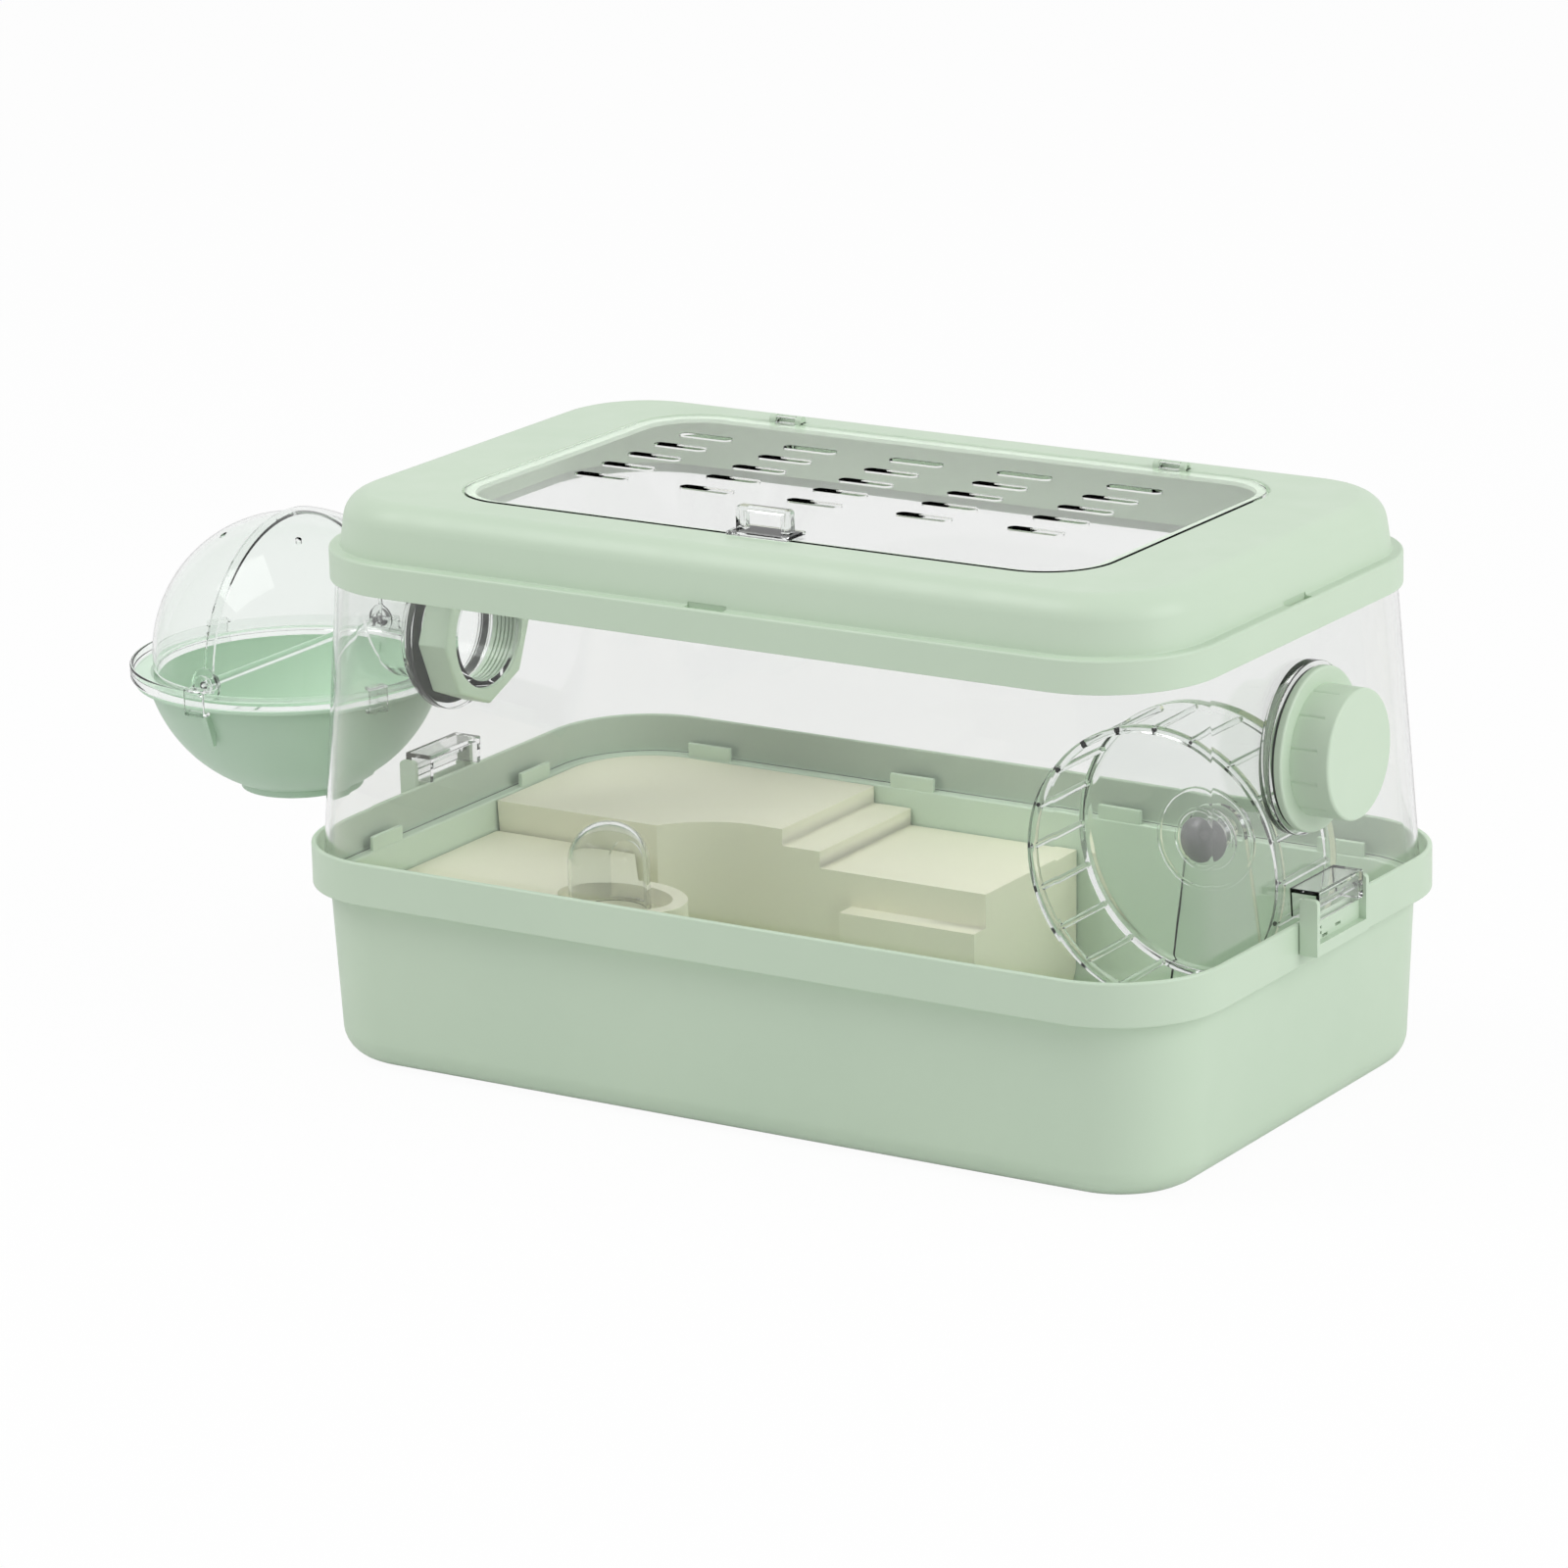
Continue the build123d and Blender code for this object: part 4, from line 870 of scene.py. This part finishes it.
drum = bmesh.new()
inner = WHEEL_RADIUS - WHEEL_BAND
disc_profile = [
    (5.0, 26.0), (8.0, 26.0), (8.0, DISC[0]), (12.6, DISC[0]), (12.6, 26.2), (14.4, 26.2),
    (14.4, DISC[0]), (22.1, DISC[0]), (22.1, 26.2), (23.9, 26.2), (23.9, DISC[0]), (inner, DISC[0]),
    (inner, 22.6), (WHEEL_RADIUS, 22.6), (WHEEL_RADIUS, DISC[1]), (8.0, DISC[1]), (8.0, 34.0), (5.0, 34.0),
]
soft = {4: 0.5, 5: 0.5, 8: 0.5, 9: 0.5, 11: 1.2, 12: 0.8, 13: 0.8, 14: 1.5}
turned(drum, "Y", WHEEL, rounded(disc_profile, soft), 128)
band = bmesh.new()
band_profile = [
    (inner, WHEEL_FRONT[0]), (WHEEL_RADIUS, WHEEL_FRONT[0]), (WHEEL_RADIUS, WHEEL_FRONT[1]),
    (inner, WHEEL_FRONT[1]),
]
turned(band, "Y", WHEEL, rounded(band_profile, {0: 1.0, 1: 1.0, 2: 1.0, 3: 1.0}), 128)
drum = carve(drum, band, "UNION")
bars = bmesh.new()
for index in range(BARS):
    angle = radians(360 / BARS * index)
    middle = WHEEL_RADIUS - WHEEL_BAND / 2
    centre = (WHEEL[0] + middle * cos(angle), 0, WHEEL[2] + middle * sin(angle))
    rod(bars, "Y", centre, BAR_RADIUS, WHEEL_FRONT[0] + 2, DISC[0] - 2, 12)
drum = carve(drum, bars, "UNION")
finish_piece(drum, "wheel_drum", clear_small)

# %% Hub cap and stand
cap_back = 25.6
cap_radius = 11.0
cap_height = 6.5
dome_radius = (cap_radius**2 + cap_height**2) / (2 * cap_height)
dome_angle = degrees(asin(cap_radius / dome_radius))
hub = bmesh.new()
dome = arc((0, cap_back - cap_height + dome_radius), dome_radius, -90, -90 + dome_angle, 10)
hub_profile = dome[:-1] + rounded([dome[-2], dome[-1], (0, cap_back)], {1: 0.5})[1:-1] + [(0, cap_back)]
turned(hub, "Y", WHEEL, hub_profile, 48, closed=False)
finish_piece(hub, "wheel_hub_cap", grey)
finish_piece(cad_copy("wheel_stand", 0.7), "wheel_stand", clear_small)

# %% [markdown]
# ## Port cap and nut
#
# The cap is a mint cup with a flange, twelve fine grip grooves and a plug that goes into the wall. The
# grooves are made by moving a few points of a circle inwards, ring after ring along the axis. The
# nut holds the pod's neck from inside: eight flat sides, softened, round a plain bore.

# %% Port cap
GROOVES = 12
GROOVE_STEPS = 24
GROOVE_DEPTH = 0.6
GROOVE_EDGE = 0.96
FLANGE_X = 229.7
CAP_RADIUS = 29.2
CAP_FACE = (27.8, 251.2, 1.4)


def grooved_loop(bm, radius, depth, x):
    """A circle round the port's axis whose points dip inwards at every groove."""
    made = bmesh.ops.create_circle(bm, radius=radius, segments=GROOVES * GROOVE_STEPS)
    for vert in made["verts"]:
        angle = atan2(vert.co.y, vert.co.x)
        dip = max(0.0, -cos(angle * GROOVES) - GROOVE_EDGE) / (1 - GROOVE_EDGE)
        out = radius - depth * dip
        vert.co = (x, out * cos(angle), PORT_Z + out * sin(angle))
    return list(dict.fromkeys(edge for vert in made["verts"] for edge in vert.link_edges))


cap = bmesh.new()
crown = [
    grooved_loop(cap, CAP_RADIUS, GROOVE_DEPTH, FLANGE_X + 3.0),
    grooved_loop(cap, CAP_RADIUS, GROOVE_DEPTH, 246.2),
    grooved_loop(cap, CAP_RADIUS, 0.0, 246.9),
]
face_radius, face_x, face_fillet = CAP_FACE
for step in range(7):
    angle = radians(15 * step)
    crown.append(
        grooved_loop(cap, face_radius + face_fillet * cos(angle), 0.0, face_x + face_fillet * sin(angle))
    )
for near_loop, far_loop in zip(crown, crown[1:]):
    bmesh.ops.bridge_loops(cap, edges=near_loop + far_loop)
bmesh.ops.contextual_create(cap, geom=crown[0])
bmesh.ops.contextual_create(cap, geom=crown[-1])
hollow = bmesh.new()
rod(hollow, "X", (0, 0, PORT_Z), 24.2, FLANGE_X, 250.1, 96)
cap = carve(cap, hollow)
collar = bmesh.new()
collar_profile = [
    (24.2, 219.0), (26.8, 219.0), (26.8, FLANGE_X), (36.8, FLANGE_X), (36.8, FLANGE_X + 4.0),
    (24.2, FLANGE_X + 4.0),
]
soft = {0: 0.5, 1: 1.0, 3: 0.8, 4: 1.2}
turned(collar, "X", (0, 0, PORT_Z), rounded(collar_profile, soft), 96)
finish_piece(carve(cap, collar, "UNION"), "port_cap", mint)

# %% Port nut
nut = cad_copy("port_nut", 0.8, 2, lambda edge: edge.calc_length() > 8)
finish_piece(nut, "port_nut", mint)

# %% [markdown]
# ## Pod
#
# The pod is a ball that hangs on the left port: a mint bowl below, and above it two clear quarters of
# a sphere, one fixed with its neck and one that flips over. A quarter is a sphere sliced by two planes
# and then given its thickness, which keeps the wall even. The neck, the ears and the ring are united
# with the fixed quarter, since they are one moulding.

# %% Quarter spheres
POD = Vector((-321.0, 0.0, 152.0))
DOME_RADIUS = 69.6
DOME_WALL = 1.6
DOOR_RADIUS = 67.5
DOOR_WALL = 1.5
SPHERE_STEPS = (128, 64)


def quarter_sphere(radius, thickness, side, edge_x, bottom):
    """A sphere's shell on one side of edge_x and above bottom, with its poles on the pivot line."""
    bm = bmesh.new()
    bmesh.ops.create_uvsphere(bm, u_segments=SPHERE_STEPS[0], v_segments=SPHERE_STEPS[1], radius=radius)
    bmesh.ops.rotate(bm, verts=bm.verts, matrix=Matrix.Rotation(radians(90), 3, "X"))
    bmesh.ops.translate(bm, vec=POD, verts=bm.verts)
    for place, outward in (((edge_x, 0, 0), (-side, 0, 0)), ((0, 0, bottom), (0, 0, -1))):
        everything = bm.verts[:] + bm.edges[:] + bm.faces[:]
        bmesh.ops.bisect_plane(
            bm, geom=everything, dist=0.001, plane_co=place, plane_no=outward, clear_outer=True
        )
    bmesh.ops.recalc_face_normals(bm, faces=bm.faces)
    bmesh.ops.solidify(bm, geom=bm.faces[:], thickness=thickness)
    return bm


def vents(side):
    """Cutters for two small air holes near the top."""
    holes = bmesh.new()
    for y in (-22.0, 22.0):
        rod(holes, "Z", (POD.x + side * 22.0, y, 0), 1.5, POD.z + 50, POD.z + 75)
    return holes


def ball_cutter(radius):
    ball = bmesh.new()
    bmesh.ops.create_uvsphere(ball, u_segments=SPHERE_STEPS[0], v_segments=SPHERE_STEPS[1], radius=radius)
    bmesh.ops.rotate(ball, verts=ball.verts, matrix=Matrix.Rotation(radians(90), 3, "X"))
    bmesh.ops.translate(ball, vec=POD, verts=ball.verts)
    return ball


# %% Fixed dome, ring and neck
RING_PROFILE = [(65.5, 143.0), (78.5, 143.0), (78.5, 150.0), (76.7, 150.0), (76.7, 146.6), (65.5, 146.6)]
NECK_RADIUS = 26.7
NECK_BORE = 23.6
NECK_END_X = -207.4

dome = quarter_sphere(DOME_RADIUS, DOME_WALL, 1, POD.x - 1.0, 145.0)
additions = []
rim = bmesh.new()
turned(rim, "Z", (POD.x, 0, 0), rounded(RING_PROFILE, {1: 1.2, 2: 0.8, 3: 0.8, 4: 0.6}), 128)
additions.append(rim)
neck = bmesh.new()
neck_profile = [(0, POD.x + 30), (NECK_RADIUS, POD.x + 30), (NECK_RADIUS, -232.2), (36.0, -232.2),
                (36.0, -229.7), (NECK_RADIUS, -229.7), (NECK_RADIUS, NECK_END_X), (0, NECK_END_X)]
turned(neck, "X", (0, 0, PORT_Z), rounded(neck_profile, {3: 0.7, 4: 0.7, 6: 0.6}), 96, closed=False)
additions.append(carve(neck, ball_cutter(DOME_RADIUS - DOME_WALL)))
for side in (-1, 1):
    ear = bmesh.new()
    low, high = sorted((side * (DOME_RADIUS - 4.0), side * (DOME_RADIUS + 1.0)))
    ear_profile = rounded([(0, low), (8.0, low), (8.0, high), (0, high)], {1: 0.4, 2: 0.4})
    turned(ear, "Y", (POD.x, 0, POD.z), ear_profile, 48, closed=False)
    additions.append(carve(ear, ball_cutter(DOME_RADIUS - DOME_WALL)))
for addition in additions:
    dome = carve(dome, addition, "UNION")
bore = bmesh.new()
rod(bore, "X", (0, 0, PORT_Z), NECK_BORE, POD.x + 20, NECK_END_X + 3, 96)
dome = carve(dome, bore)
pivot = bmesh.new()
rod(pivot, "Y", (POD.x, 0, POD.z), 2.07, -75.0, 75.0)
dome = carve(dome, pivot)
dome = carve(dome, vents(1))
finish_piece(dome, "pod_dome", clear_small)

# %% Pod door
door = quarter_sphere(DOOR_RADIUS, DOOR_WALL, -1, POD.x + 2.5, 147.6)
for side in (-1, 1):
    lobe = bmesh.new()
    low, high = sorted((side * (DOOR_RADIUS - 3.0), side * (DOOR_RADIUS - 0.6)))
    rod(lobe, "Y", (POD.x, 0, POD.z), 4.2, low, high)
    door = carve(door, lobe, "UNION")
pivot = bmesh.new()
rod(pivot, "Y", (POD.x, 0, POD.z), 2.0, -72.0, 72.0)
door = carve(door, pivot)
door = carve(door, vents(-1))
finish_piece(door, "pod_door", clear_small)

# %% Bowl
BOWL_RADIUS = 72.0
BOWL_CENTRE_Z = 156.0
BOWL_WALL = 2.0


def bowl_angle(radius, z):
    """Angle below the outward line at which the bowl's sphere passes a height."""
    return -degrees(asin((BOWL_CENTRE_Z - z) / radius))


bowl = bmesh.new()
low_angle, high_angle = bowl_angle(BOWL_RADIUS, 89.7), bowl_angle(BOWL_RADIUS, 140.6)
outside = arc((0, BOWL_CENTRE_Z), BOWL_RADIUS, low_angle, high_angle, 24)
inner = BOWL_RADIUS - BOWL_WALL
hollow = arc((0, BOWL_CENTRE_Z), inner, bowl_angle(inner, 142.8), bowl_angle(inner, 91.5), 28)
bowl_profile = [(0, 89.1), (25.5, 89.1), (25.5, 86.6), (28.0, 86.6)]
bowl_profile = rounded(bowl_profile + [outside[0]], {2: 0.5, 3: 0.8})[:-1] + outside
flange = [outside[-1], (76.5, 140.6), (76.5, 142.8), hollow[0]]
bowl_profile += rounded(flange, {1: 0.6, 2: 0.6})[1:-1] + hollow + [(0, 91.5)]
turned(bowl, "Z", (POD.x, 0, 0), bowl_profile, 128, closed=False)
for side in (-1, 1):
    rib = [(side * 66.0, 121.5), (side * 68.0, 121.5), (side * 73.5, 138.5), (side * 66.0, 138.5)]
    prism(bowl, rib, "X", POD.x - 1.6, POD.x + 1.6)
finish_piece(bowl, "pod_bowl", mint_deep)
finish_piece(cad_copy("pod_clips", 0.4), "pod_clips", clear_small)
finish_piece(cad_copy("pod_pivot_pins", 0.6, 3), "pod_pivot_pins", clear_small)

# %% [markdown]
# ## Small parts
#
# The pins, the bush, the axle and the two rubber rings are already right in the frame. They keep their
# solids and get only a finish.

# %% Finishes of the small parts
SMALL_PARTS = {
    "window_hinge_pins": clear_small,
    "latch_pins": clear_small,
    "wheel_bush": white,
    "wheel_axle": steel,
    "port_cap_seal": rubber,
    "pod_neck_seal": rubber,
}
for node, material in SMALL_PARTS.items():
    data = frame["nodes"][node].data
    data.materials.clear()
    data.materials.append(material)
    print("finish:", node, "in", material.name)

# %% [markdown]
# ## Last look
#
# The box round the dressed cage is printed, so that its size can be seen.

# %% Sizes
low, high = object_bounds()
print("visual box:", [round(v, 4) for v in low], [round(v, 4) for v in high])
